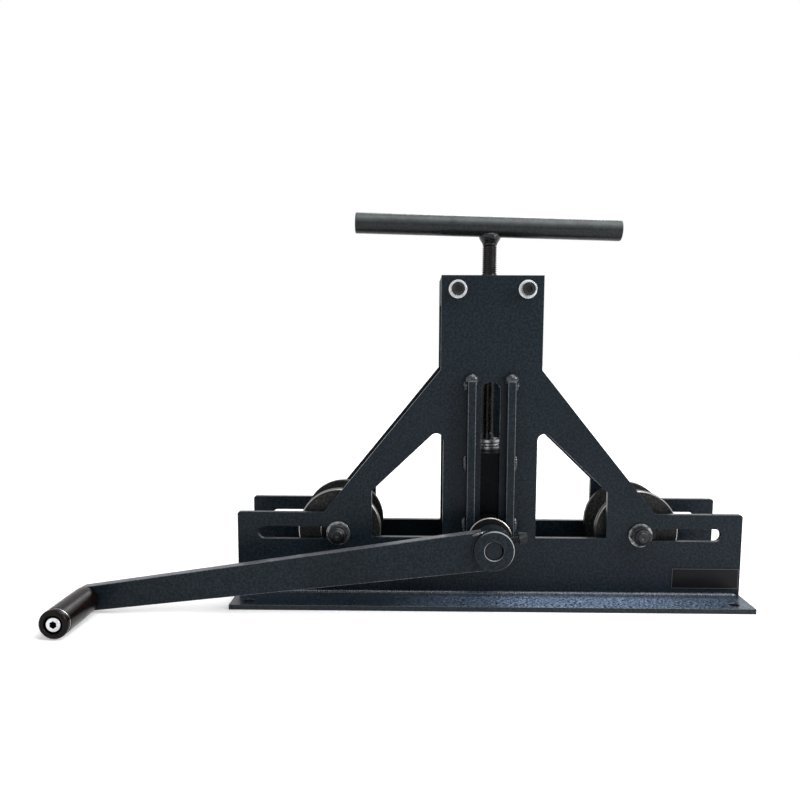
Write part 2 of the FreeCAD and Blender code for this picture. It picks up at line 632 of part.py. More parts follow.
def grip_fittings():
    """The bolt through the grip, the tube that the grip turns on, and the lock nut behind the arm."""
    x, z = -CRANK_RADIUS, SHAFT_REST_Z
    seat_y = -GRIP_OUT + GRIP_RECESS - SLIDE
    length = -ARM_IN + M8_NUT_H + 2 - seat_y
    bolt = cap_screw(M8_D, M8_HEAD_D, M8_HEAD_H, M8_SOCKET_AF, length, V(x, seat_y, z), Y_AXIS)
    tube = ring_y(GRIP_TUBE_D, M8_D + BOLT_HOLE, x, z, seat_y, -ARM_OUT)
    keeper = lock_nut(M8_NUT_AF, M8_D + BOLT_HOLE, M8_NUT_H, V(x, -ARM_IN, z), Y_AXIS)
    return at_crank(bolt), at_crank(tube), at_crank(keeper)


def axle_parts(x):
    """Stud, sleeve, spacers, washers and nuts of one outer axle, at its inner place."""
    end = PLATE_OUT + AXLE_WASHER_T + AXLE_NUT_H + AXLE_TIP
    tip, r = 1.2, AXLE_D / 2
    mark_r = AXLE_CENTRE_MARK / 2
    mark = mark_r / math.sqrt(3)
    stud = turned_y([(0, -end + mark), (mark_r, -end), (r - tip, -end), (r, -end + tip),
                     (r, end - tip), (r - tip, end), (mark_r, end), (0, end - mark)], x, AXLE_Z)
    clear = AXLE_D + 2 * BOLT_HOLE
    sleeve = ring_y(AXLE_SLEEVE_D, clear, x, AXLE_Z, -PLATE_IN, PLATE_IN)
    spacer = ring_y(SPACER_D, AXLE_SLEEVE_D + 2 * RUNNING, x, AXLE_Z, -PLATE_IN, -ROLLER_HALF - SLIDE)
    washer_y = -PLATE_OUT - AXLE_WASHER_T
    washer = ring_y(AXLE_WASHER_D, clear, x, AXLE_Z, washer_y, -PLATE_OUT)
    axle_nut = lock_nut(AXLE_NUT_AF, clear, AXLE_NUT_H, V(x, washer_y, AXLE_Z), Y_AXIS * -1,
                        AXLE_NUT_TURN_DEG)
    return {"axle_stud": stud, "axle_sleeve": sleeve, "roller_spacers": with_rear_copy(spacer),
            "axle_washers": with_rear_copy(washer), "axle_nuts": with_rear_copy(axle_nut)}


def roller_parts(x):
    """Grooved hub, two flange discs and two bushes of one outer roller."""
    groove, end = ROLLER_GROOVE / 2, ROLLER_HALF
    hub_r, spigot_r, bore_r = ROLLER_HUB_D / 2, ROLLER_SPIGOT_D / 2, BUSH_D / 2
    hub = turned_y([(bore_r, -end), (spigot_r, -end), (spigot_r, -groove), (hub_r, -groove),
                    (hub_r, groove), (spigot_r, groove), (spigot_r, end), (bore_r, end)], x, AXLE_Z)
    rim, chamfer = DISC_D / 2, DISC_CHAMFER
    disc = turned_y([(spigot_r, -end), (rim - chamfer, -end), (rim, -end + chamfer),
                     (rim, -groove - chamfer / 2), (rim - chamfer / 2, -groove), (spigot_r, -groove)],
                    x, AXLE_Z)
    bush = ring_y(BUSH_D, AXLE_SLEEVE_D + 2 * RUNNING, x, AXLE_Z, -end, -SIDE)
    return {"roller_hub": hub, "roller_discs": with_rear_copy(disc), "roller_bushes": with_rear_copy(bush)}


def build():
    """Every piece of the tool by name."""
    front_plate = side_plate()
    front_rails, front_block, cheek = guide_rails(), guide_block(), front_cheek()
    screws, washers = block_fasteners()
    bearing_outer, bearing_balls, bearing_inner = shaft_bearings()
    collar, collar_screw = lock_collar()
    back_collar, back_collar_screw = rear_collar()
    grip_bolt, grip_tube, grip_nut = grip_fittings()
    shaft_washer = ring_y(SHAFT_WASHER_D, SHAFT_END_D, 0, SHAFT_REST_Z, -WASHER_OUT, -WASHER_IN)
    nodes = {
        "base_plate": base_plate(),
        "front_side_plate": front_plate,
        "rear_side_plate": mirrored_y(front_plate),
        "base_fillet_welds": base_welds(),
        "front_guide_rails": front_rails,
        "rear_guide_rails": mirrored_y(front_rails),
        "nut_block": nut_block(),
        "thread_bush": thread_bush(),
        "block_screws": screws,
        "block_washers": washers,
        "yoke_bridge": yoke_bridge(),
        "front_yoke_cheek": cheek,
        "rear_yoke_cheek": mirrored_y(cheek),
        "yoke_screws": yoke_screws(),
        "shaft_bearing_outer_rings": bearing_outer,
        "shaft_bearing_balls": bearing_balls,
        "shaft_bearing_inner_rings": bearing_inner,
        "front_guide_block": front_block,
        "rear_guide_block": mirrored_y(front_block),
        "thrust_lower_race": ring_z(THRUST_D, SCREW_SPIGOT_D + 2 * RUNNING, BRIDGE_TOP_Z, CAGE_Z),
        "thrust_ball_cage": ring_z(THRUST_D - 3, SCREW_SPIGOT_D + 3, CAGE_Z, UPPER_RACE_Z),
        "thrust_upper_race": ring_z(THRUST_D, SCREW_SPIGOT_D, UPPER_RACE_Z, SCREW_SHOULDER_Z),
        "press_screw": press_screw(),
        "tee_bar": tee_bar(),
        "screw_lock_collar": collar,
        "lock_collar_screw": collar_screw,
        "drive_shaft": drive_shaft(),
        "drive_roller": drive_roller(),
        "roller_key": slot_for_key(KEY_LENGTH),
        "front_shaft_washer": shaft_washer,
        "rear_shaft_washer": mirrored_y(shaft_washer),
        "rear_shaft_collar": back_collar,
        "rear_collar_screw": back_collar_screw,
        "crank_hub": crank_hub(),
        "crank_set_screw": crank_set_screw(),
        "crank_arm": crank_arm(),
        "crank_grip": crank_grip(),
        "grip_bolt": grip_bolt,
        "grip_tube": grip_tube,
        "grip_lock_nut": grip_nut,
    }
    for side, x in (("left", -AXLE_REST_X), ("right", AXLE_REST_X)):
        for name, shape in {**axle_parts(x), **roller_parts(x)}.items():
            nodes[side + "_" + name] = shape
    return nodes


def main():
    os.makedirs("parts", exist_ok=True)
    for name, shape in build().items():
        shape.exportStep(os.path.join("parts", name + ".step"))
        print(name, "solids", len(shape.Solids), "volume", round(shape.Volume, 1), "valid", shape.isValid())


if __name__ == "__main__":
    main()
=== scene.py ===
"""Looks of a hand-cranked ring roller: painted fabrication, machined rollers, screw, crank and grip.

Every length in this file is in metres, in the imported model's own frame: +X to the operator's
right, +Y away from the crank, +Z up, with the origin under the middle of the base plate.
"""
from __future__ import annotations

import logging
import math
from dataclasses import dataclass
from enum import Enum
from typing import Callable, Sequence

import bmesh
import bpy
from mathutils import Matrix, Vector

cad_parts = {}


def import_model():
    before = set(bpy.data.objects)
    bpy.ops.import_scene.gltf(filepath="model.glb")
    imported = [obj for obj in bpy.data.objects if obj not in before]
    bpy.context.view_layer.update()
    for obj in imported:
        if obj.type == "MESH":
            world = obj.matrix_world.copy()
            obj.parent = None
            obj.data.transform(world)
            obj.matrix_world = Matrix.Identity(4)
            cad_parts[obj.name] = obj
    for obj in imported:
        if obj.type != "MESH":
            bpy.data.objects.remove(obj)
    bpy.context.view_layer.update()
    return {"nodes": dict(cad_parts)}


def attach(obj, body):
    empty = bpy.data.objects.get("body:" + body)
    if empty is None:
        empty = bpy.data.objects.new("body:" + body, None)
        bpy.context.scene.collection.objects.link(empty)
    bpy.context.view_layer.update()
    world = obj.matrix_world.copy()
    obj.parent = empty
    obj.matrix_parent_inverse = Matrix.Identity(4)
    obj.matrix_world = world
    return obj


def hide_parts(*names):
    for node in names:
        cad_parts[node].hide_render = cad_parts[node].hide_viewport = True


Colour = tuple[float, float, float]
Point = tuple[float, float, float]
Item = bpy.types.Object
Socket = bpy.types.NodeSocket

LOG = logging.getLogger("ring_roller")
MM = 0.001
TURN = 2 * math.pi
ORIGIN: Point = (0.0, 0.0, 0.0)
UPWARDS: Point = (0.0, 0.0, 1.0)
SHAFT: Point = (0.0, 0.0, 65.0 * MM)
CRANK_REST = math.radians(7.5)
CRANK_RADIUS = 391.0 * MM
MERGE = 0.000002


class Slot(Enum):
    """Names of material slots that each finish carries; nothing in this script reads them."""

    PAINT = "charcoal_paint"
    BLACK = "black_oxide_steel"
    ZINC = "zinc_plate"
    STEEL = "machined_steel"
    BRONZE = "bronze"
    GRIP = "black_grip"


class Body(Enum):
    """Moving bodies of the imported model."""

    FRAME = "frame"
    YOKE = "yoke"
    SCREW = "screw"
    DRIVE = "drive"
    GRIP = "grip"
    LEFT_AXLE = "left_axle"
    RIGHT_AXLE = "right_axle"
    LEFT_ROLLER = "left_roller"
    RIGHT_ROLLER = "right_roller"


class Side(Enum):
    """The two outer rollers, by the sign of their place along X."""

    LEFT = -1
    RIGHT = 1


class Wiring:
    """Adds nodes to one node tree and links them, left to right."""

    def __init__(self, tree: bpy.types.NodeTree) -> None:
        """Keeps the tree.

        Args:
            tree: the tree of a material or a world.
        """
        self.tree = tree

    def feed(self, socket: Socket, value: object) -> None:
        """Links a socket, or sets it to a number, a vector or a colour."""
        if isinstance(value, Socket):
            self.tree.links.new(value, socket)
        else:
            socket.default_value = (*value, 1.0) if socket.type == "RGBA" else value

    def node(self, kind: str, output: str | int, inputs: dict[str | int, object],
             **settings: object) -> Socket:
        """Adds one node.

        Args:
            kind: its type, without the prefix.
            output: the output to hand back.
            inputs: a number, vector, colour or socket for each input.
            settings: the node's own properties.

        Returns:
            The output's socket.
        """
        node = self.tree.nodes.new("ShaderNode" + kind)
        for key, value in settings.items():
            setattr(node, key, value)
        for key, value in inputs.items():
            self.feed(node.inputs[key], value)
        return node.outputs[output]

    def math(self, operation: str, *values: object) -> Socket:
        """One operation on numbers."""
        return self.node("Math", 0, dict(enumerate(values)), operation=operation)

    def span(self, value: Socket, low: float, high: float, to_low: float = 0.0,
             to_high: float = 1.0) -> Socket:
        """Maps a value from one span to another, clamped at both ends."""
        return self.node("MapRange", "Result", {"Value": value, "From Min": low, "From Max": high,
                                                "To Min": to_low, "To Max": to_high})

    def seen_rays(self) -> Socket:
        """A socket that is 1 for camera, glossy and transmission rays."""
        path = self.tree.nodes.new("ShaderNodeLightPath").outputs
        either = self.math("MAXIMUM", path["Is Camera Ray"], path["Is Glossy Ray"])
        return self.math("MAXIMUM", either, path["Is Transmission Ray"])


class Sheet(Wiring):
    """The nodes of one material."""

    def __init__(self, name: str) -> None:
        """Starts a material with a Principled shader.

        Args:
            name: name of the material.
        """
        self.material = bpy.data.materials.new(name)
        self.material.use_nodes = True
        super().__init__(self.material.node_tree)
        self.shader = self.tree.nodes["Principled BSDF"]
        self.place = self.tree.nodes.new("ShaderNodeTexCoord").outputs["Object"]

    def shifted(self, centre: Point = ORIGIN, stretch: Point = (1.0, 1.0, 1.0)) -> Socket:
        """Object coordinates moved so that a centre is at nought, then stretched."""
        start = [-c * s for c, s in zip(centre, stretch)]
        return self.node("Mapping", "Vector", {"Location": start, "Scale": stretch,
                                               "Vector": self.place}, vector_type="POINT")

    def noise(self, scale: float, detail: float = 4.0, roughness: float = 0.55,
              vector: Socket | None = None) -> Socket:
        """A noise pattern.

        Args:
            scale: waves in a metre.
            detail: octaves.
            roughness: weight of the finer octaves.
            vector: coordinates, or none for the object's own.

        Returns:
            The value socket, from 0 to 1.
        """
        return self.node("TexNoise", "Fac", {"Scale": scale, "Detail": detail,
                                             "Roughness": roughness,
                                             "Vector": vector or self.place})

    def rings(self, centre: Point, scale: float) -> Socket:
        """Fine turning rings about an axis along Y through a centre."""
        return self.node("TexWave", "Fac", {"Scale": scale, "Distortion": 0.6, "Detail": 2.0,
                                            "Vector": self.shifted(centre)},
                         wave_type="RINGS", rings_direction="Y")

    def along(self, axis: str, centre: Point = ORIGIN) -> Socket:
        """Distance along one axis from a centre, in metres."""
        return self.node("SeparateXYZ", axis, {0: self.shifted(centre)})

    def rise(self, centre: Point, turn: float) -> Socket:
        """Height over a line through a centre that is turned about Y, in metres."""
        turned = self.node("Mapping", "Vector", {"Location": centre, "Rotation": (0.0, -turn, 0.0),
                                                 "Vector": self.place}, vector_type="TEXTURE")
        return self.node("SeparateXYZ", "Z", {0: turned})

    def both(self, *masks: Socket) -> Socket:
        """The product of two masks."""
        return self.math("MULTIPLY", *masks)

    def radius(self, centre: Point, axis: str = "Y") -> Socket:
        """Distance from an axis through a centre, in metres."""
        keep = tuple(0.0 if name == axis else 1.0 for name in "XYZ")
        return self.node("VectorMath", "Value", {0: self.shifted(centre, keep)}, operation="LENGTH")

    def ramp(self, factor: Socket, *stops: tuple[float, Sequence[float]]) -> Socket:
        """A colour ramp with stops, each a place from 0 to 1 and a colour."""
        node = self.tree.nodes.new("ShaderNodeValToRGB")
        elements = node.color_ramp.elements
        while len(elements) < len(stops):
            elements.new(0.5)
        for element, (place, colour) in zip(elements, stops):
            element.position = place
            element.color = (*colour, 1.0)
        self.feed(node.inputs["Fac"], factor)
        return node.outputs["Color"]

    def blend(self, factor: Socket, first: Socket | Colour, second: Socket | Colour) -> Socket:
        """Mixes two colours by a factor."""
        return self.node("Mix", 2, {"Factor": factor, 6: first, 7: second}, data_type="RGBA")

    def finished(self, *layers: tuple[Socket, float], **inputs: object) -> bpy.types.Material:
        """Feeds the shader and stacks bump layers on it.

        Args:
            layers: relief, each a height and its depth in metres.
            inputs: a colour, number or socket for each shader input, with _ for a space.

        Returns:
            The material.
        """
        for height, depth in layers:
            bump = {"Strength": 1.0, "Distance": depth, "Height": height}
            if "Normal" in inputs:
                bump["Normal"] = inputs["Normal"]
            inputs["Normal"] = self.node("Bump", "Normal", bump)
        for key, value in inputs.items():
            self.feed(self.shader.inputs[key.replace("_", " ")], value)
        return self.material


@dataclass(frozen=True)
class PowderCoat:
    """Semi-gloss charcoal powder coat: soft cool and green clouding, a fine speckle and a grain."""

    name: str = "charcoal_powder_coat"
    deep: Colour = (0.0030, 0.0058, 0.0092)
    middle: Colour = (0.0074, 0.0124, 0.0168)
    pale: Colour = (0.0110, 0.0146, 0.0260)
    dust_and_glint: Colour = (0.050, 0.058, 0.070)
    dust_and_glint_share: float = 0.35
    gloss: float = 0.24
    matt: float = 0.40
    shine: float = 0.11
    grain_depth: float = 0.00005
    peel_depth: float = 0.00010
    slot: Slot = Slot.PAINT

    def tint(self, sheet: Sheet) -> Socket:
        """The colour of the coat without its flecks."""
        clouds = sheet.noise(9.0, 5.0, 0.6)
        dark, light = (tuple(c * k for c in self.middle) for k in (0.62, 1.55))
        shade = sheet.ramp(clouds, (0.32, self.deep), (0.52, dark), (0.72, dark))
        lit = sheet.ramp(clouds, (0.32, self.middle), (0.52, light), (0.72, self.pale))
        return sheet.blend(sheet.span(sheet.noise(430.0, 2.0, 0.7), 0.42, 0.60), shade, lit)

    def material(self) -> bpy.types.Material:
        """Builds the material."""
        sheet = Sheet(self.name)
        grain = sheet.noise(1300.0, 2.0, 0.5)
        peel = sheet.noise(420.0, 2.0, 0.4)
        # Pale flecks: dust on the plain coat, and painted glints in the weld and edge coats, whose
        # flecks are paler.
        flecks = sheet.span(sheet.noise(620.0, 3.0, 0.7), 0.60, 0.74, 0.0, self.dust_and_glint_share)
        wear = sheet.span(sheet.noise(34.0, 6.0, 0.7), 0.3, 0.7, self.gloss, self.matt)
        return sheet.finished((peel, self.peel_depth), (grain, self.grain_depth),
                              Base_Color=sheet.blend(flecks, self.tint(sheet), self.dust_and_glint),
                              Roughness=wear, Specular_IOR_Level=self.shine)


@dataclass(frozen=True)
class BaseCoat(PowderCoat):
    """The powder coat on the base, with pale painted glints on its top face."""

    name: str = "charcoal_coat_on_base"
    top: float = 4.6 * MM
    # Colour of the painted glints of overhead light on the top face.
    top_glint_colour: Colour = (0.25, 0.34, 0.50)
    glint_middle: Point = (0.085, -0.066, 0.0)
    glint_core: float = 50.0 * MM
    glint_reach: float = 190.0 * MM
    foot: float = -54.0 * MM
    shine: float = 0.24

    def tint(self, sheet: Sheet) -> Socket:
        """The coat's colour with painted glints on the top face, thickest right of the middle."""
        # Painted glints: pale flecks on the top face, strongest round one spot and towards the front
        # edge.
        above = sheet.span(sheet.along("Z"), self.top, self.top + 0.3 * MM)
        near = sheet.both(sheet.span(sheet.radius(self.glint_middle, "Z"), self.glint_core,
                                     self.glint_reach, 1.0, 0.10),
                          sheet.span(sheet.along("Y"), self.foot, self.foot + 6.0 * MM, 1.0, 0.30))
        glint_flecks = sheet.span(sheet.noise(430.0, 3.0, 0.7), 0.44, 0.58, 0.02, 1.0)
        return sheet.blend(sheet.both(above, sheet.both(near, glint_flecks)), super().tint(sheet),
                           self.top_glint_colour)


@dataclass(frozen=True)
class TopLitCoat(PowderCoat):
    """The powder coat on a bar or arm, with a painted highlight along its upper side."""

    name: str = "charcoal_coat_on_arm"
    middle_line: Point = SHAFT
    slope: float = math.radians(8.56)
    low: float = 18.90 * MM
    high: float = 19.20 * MM
    # Colour of the painted highlight along the upper side.
    top_highlight: Colour = (0.135, 0.140, 0.158)

    def tint(self, sheet: Sheet) -> Socket:
        """The coat's colour with a patchy painted highlight on its upper side."""
        above = sheet.span(sheet.rise(self.middle_line, self.slope), self.low, self.high)
        patchy = sheet.span(sheet.noise(55.0, 5.0, 0.7), 0.30, 0.62, 0.35, 1.0)
        return sheet.blend(sheet.both(above, patchy), super().tint(sheet), self.top_highlight)


@dataclass(frozen=True)
class HubCoat(PowderCoat):
    """The powder coat on the crank's hub, with painted highlight arcs on one side of the rim and on the
    opposite side of the bore's mouth.
    """

    name: str = "charcoal_coat_on_hub"
    rim_from: float = 18.1 * MM
    bore_to: float = 9.4 * MM
    fade: float = 0.3 * MM
    face: float = -99.0 * MM
    glint_side: float = math.radians(52.0)
    # Colour of the painted highlight arcs.
    arc_glint_colour: Colour = (0.290, 0.292, 0.298)

    def tint(self, sheet: Sheet) -> Socket:
        """The coat's colour with two painted highlight arcs on the front."""
        reach = sheet.radius(SHAFT)
        front = sheet.span(sheet.along("Y"), self.face, self.face + 0.4 * MM, 1.0, 0.0)
        coat = super().tint(sheet)
        upper = sheet.rise(SHAFT, -self.glint_side)
        rings = ((sheet.span(reach, self.rim_from, self.rim_from + self.fade),
                  sheet.span(upper, -0.002, 0.012, 0.05, 1.0)),
                 (sheet.span(reach, self.bore_to, self.bore_to + self.fade, 1.0, 0.0),
                  sheet.span(upper, -0.006, 0.004, 1.0, 0.10)))
        for masks in rings:
            coat = sheet.blend(sheet.both(front, sheet.both(*masks)), coat, self.arc_glint_colour)
        return coat


@dataclass(frozen=True)
class BlackOxide:
    """Oiled black oxide on hardened steel, with a random darker and paler mottle."""

    name: str = "oiled_black_oxide"
    deep: Colour = (0.0016, 0.0020, 0.0026)
    pale: Colour = (0.0060, 0.0068, 0.0080)
    roughness: float = 0.20
    shine: float = 0.16
    slot: Slot = Slot.BLACK

    def material(self) -> bpy.types.Material:
        """Builds the material."""
        sheet = Sheet(self.name)
        mottle = sheet.noise(160.0, 5.0, 0.6)
        wear = sheet.span(mottle, 0.3, 0.7, self.roughness - 0.06, self.roughness + 0.12)
        return sheet.finished((sheet.noise(1100.0, 3.0), 0.00003),
                              Base_Color=sheet.ramp(mottle, (0.35, self.deep), (0.7, self.pale)),
                              Roughness=wear, Specular_IOR_Level=self.shine)


@dataclass(frozen=True)
class ZincPlate:
    """Bright zinc plate with a soft milky bloom."""

    name: str = "bright_zinc_plate"
    bright: Colour = (0.66, 0.67, 0.69)
    bloom: Colour = (0.42, 0.43, 0.45)
    slot: Slot = Slot.ZINC

    def material(self) -> bpy.types.Material:
        """Builds the material."""
        sheet = Sheet(self.name)
        mottle = sheet.noise(260.0, 5.0, 0.6)
        return sheet.finished((mottle, 0.00003), Metallic=1.0,
                              Base_Color=sheet.ramp(mottle, (0.32, self.bloom), (0.62, self.bright)),
                              Roughness=sheet.span(sheet.noise(90.0, 4.0), 0.3, 0.7, 0.22, 0.42))


@dataclass(frozen=True)
class TurnedSteel:
    """Plain turned steel with its tool rings about an axis along Y."""

    name: str = "turned_steel"
    centre: Point = ORIGIN
    bright: Colour = (0.46, 0.46, 0.47)
    dull: Colour = (0.24, 0.24, 0.25)
    slot: Slot = Slot.STEEL

    def material(self) -> bpy.types.Material:
        """Builds the material."""
        sheet = Sheet(self.name)
        mottle = sheet.noise(70.0, 6.0, 0.6)
        return sheet.finished((sheet.rings(self.centre, 900.0), 0.000012), Metallic=1.0,
                              Base_Color=sheet.ramp(mottle, (0.3, self.dull), (0.65, self.bright)),
                              Roughness=sheet.span(mottle, 0.3, 0.7, 0.28, 0.46))


@dataclass(frozen=True)
class CrankShaftSteel:
    """Turned shaft steel, painted with the crank over its front end."""

    name: str = "crank_shaft_steel"
    painted_before_y: float = -57.0 * MM
    steel: Colour = (0.30, 0.30, 0.31)
    paint: Colour = (0.0060, 0.0085, 0.0115)
    slot: Slot = Slot.STEEL

    def material(self) -> bpy.types.Material:
        """Builds the material."""
        sheet = Sheet(self.name)
        coat = sheet.span(sheet.along("Y"), self.painted_before_y,
                          self.painted_before_y + 0.6 * MM, 1.0, 0.0)
        mottle = sheet.noise(260.0, 4.0, 0.65)
        dull, flecked = tuple(c * 0.6 for c in self.steel), tuple(c * 2.2 for c in self.paint)
        steel = sheet.ramp(mottle, (0.3, dull), (0.7, self.steel))
        paint = sheet.ramp(mottle, (0.3, self.paint), (0.75, flecked))
        return sheet.finished((sheet.noise(900.0, 3.0), 0.00006), (sheet.rings(SHAFT, 800.0), 0.00001),
                              Base_Color=sheet.blend(coat, steel, paint),
                              Metallic=sheet.span(coat, 0.0, 1.0, 1.0, 0.0),
                              Roughness=sheet.span(mottle, 0.3, 0.7, 0.30, 0.45),
                              Specular_IOR_Level=0.12)


@dataclass(frozen=True)
class RimmedSteel:
    """A round plate with dark scaled faces, small pits and a bright turned outer edge."""

    name: str
    centre: Point
    rim_radius: float = 42.5 * MM
    bright_band: float = 1.0 * MM
    chamfer_from: float = 27.6 * MM
    fade: float = 0.2 * MM
    face: Colour = (0.0065, 0.0065, 0.0070)
    scale_spots: Colour = (0.060, 0.061, 0.060)
    rim: Colour = (0.30, 0.295, 0.285)
    slot: Slot = Slot.STEEL

    def material(self) -> bpy.types.Material:
        """Builds the material."""
        sheet = Sheet(self.name)
        edge = self.rim_radius - self.bright_band
        outer = sheet.span(sheet.radius(self.centre), edge - self.fade, edge)
        side = sheet.math("ABSOLUTE", sheet.along("Y"))
        rim = sheet.both(outer, sheet.span(side, self.chamfer_from, self.chamfer_from + self.fade))
        spots = sheet.span(sheet.noise(420.0, 5.0, 0.85), 0.48, 0.74)
        face = sheet.blend(spots, self.face, self.scale_spots)
        return sheet.finished((sheet.noise(500.0, 4.0, 0.7), 0.00008),
                              (sheet.rings(self.centre, 700.0), 0.000015),
                              Base_Color=sheet.blend(rim, face, self.rim),
                              Metallic=sheet.span(rim, 0.0, 1.0, 0.10, 0.95),
                              Roughness=sheet.span(rim, 0.0, 1.0, 0.42, 0.28),
                              Specular_IOR_Level=0.18)


@dataclass(frozen=True)
class BearingBronze:
    """Turned bearing bronze."""

    name: str = "bearing_bronze"
    bright: Colour = (0.52, 0.34, 0.15)
    dull: Colour = (0.30, 0.19, 0.09)
    slot: Slot = Slot.BRONZE

    def material(self) -> bpy.types.Material:
        """Builds the material."""
        sheet = Sheet(self.name)
        mottle = sheet.noise(120.0, 5.0)
        return sheet.finished((sheet.noise(900.0, 2.0), 0.00002), Metallic=1.0,
                              Base_Color=sheet.ramp(mottle, (0.3, self.dull), (0.7, self.bright)),
                              Roughness=sheet.span(mottle, 0.3, 0.7, 0.3, 0.45))


@dataclass(frozen=True)
class GlossGrip:
    """Glossy near-black plastic with a red-brown depth and fine hairlines along its length."""

    name: str = "gloss_black_grip"
    deep: Colour = (0.0018, 0.0014, 0.0013)
    warm: Colour = (0.0075, 0.0028, 0.0022)
    slot: Slot = Slot.GRIP

    def material(self) -> bpy.types.Material:
        """Builds the material."""
        sheet = Sheet(self.name)
        streaks = sheet.noise(60.0, 4.0, 0.5, sheet.shifted(stretch=(3.0, 0.35, 3.0)))
        return sheet.finished((sheet.noise(240.0, 3.0), 0.00004),
                              Base_Color=sheet.ramp(streaks, (0.35, self.deep), (0.75, self.warm)),
                              Roughness=sheet.span(sheet.noise(45.0, 5.0, 0.65), 0.3, 0.7, 0.20, 0.32),
                              Specular_IOR_Level=0.11)


@dataclass(frozen=True)
class BlankPlatePaint:
    """Satin black of the bare label plate, with a pale hairline frame near its edge."""

    centre: Point
    half: tuple[float, float]
    name: str = "blank_plate_paint"
    inset: float = 0.8 * MM
    line: float = 0.45 * MM
    ground: Colour = (0.0055, 0.0055, 0.0068)
    frame: Colour = (0.085, 0.080, 0.098)
    slot: Slot = Slot.BLACK

    def material(self) -> bpy.types.Material:
        """Builds the material."""
        sheet = Sheet(self.name)
        gaps = [sheet.span(sheet.math("ABSOLUTE", sheet.along(axis, self.centre)), 0.0, half, half, 0.0)
                for axis, half in zip("XZ", self.half)]
        away = sheet.math("COMPARE", sheet.math("MINIMUM", *gaps), self.inset, self.line / 2)
        return sheet.finished((sheet.noise(900.0, 2.0), 0.00001),
                              Base_Color=sheet.blend(away, self.ground, self.frame),
                              Roughness=sheet.span(sheet.noise(300.0, 3.0), 0.3, 0.7, 0.30, 0.42),
                              Specular_IOR_Level=0.10)


HEAD_OXIDE = BlackOxide(name="black_oxide_on_screw_heads", deep=(0.0040, 0.0050, 0.0060),
                        pale=(0.0120, 0.0140, 0.0160), roughness=0.24, shine=0.30)
# Near black for the painted shade inside the hexagon sockets.
SOCKET_SHADE = BlackOxide(name="painted_shade_in_sockets", deep=(0.0010, 0.0010, 0.0010),
                        pale=(0.0040, 0.0038, 0.0034), roughness=0.4, shine=0.05)
BEARING_STEEL = TurnedSteel(name="bearing_steel", centre=SHAFT)
# Lighter coat on the rounded edges: painted highlights along the edges.
EDGE_HIGHLIGHT_PAINT = PowderCoat(name="charcoal_coat_with_painted_edge_highlights", gloss=0.15, matt=0.30, shine=0.60,
                        deep=(0.022, 0.025, 0.030), middle=(0.055, 0.060, 0.070),
                        pale=(0.095, 0.100, 0.115), dust_and_glint=(0.22, 0.225, 0.235), dust_and_glint_share=0.6)
# Weld coat whose pale flecks are painted glints on the rail welds.
WELD_PAINT = PowderCoat(name="charcoal_coat_on_weld", gloss=0.13, matt=0.26, shine=0.50,
                        dust_and_glint=(0.12, 0.125, 0.14), dust_and_glint_share=0.5, grain_depth=0.00002,
                        peel_depth=0.00006)


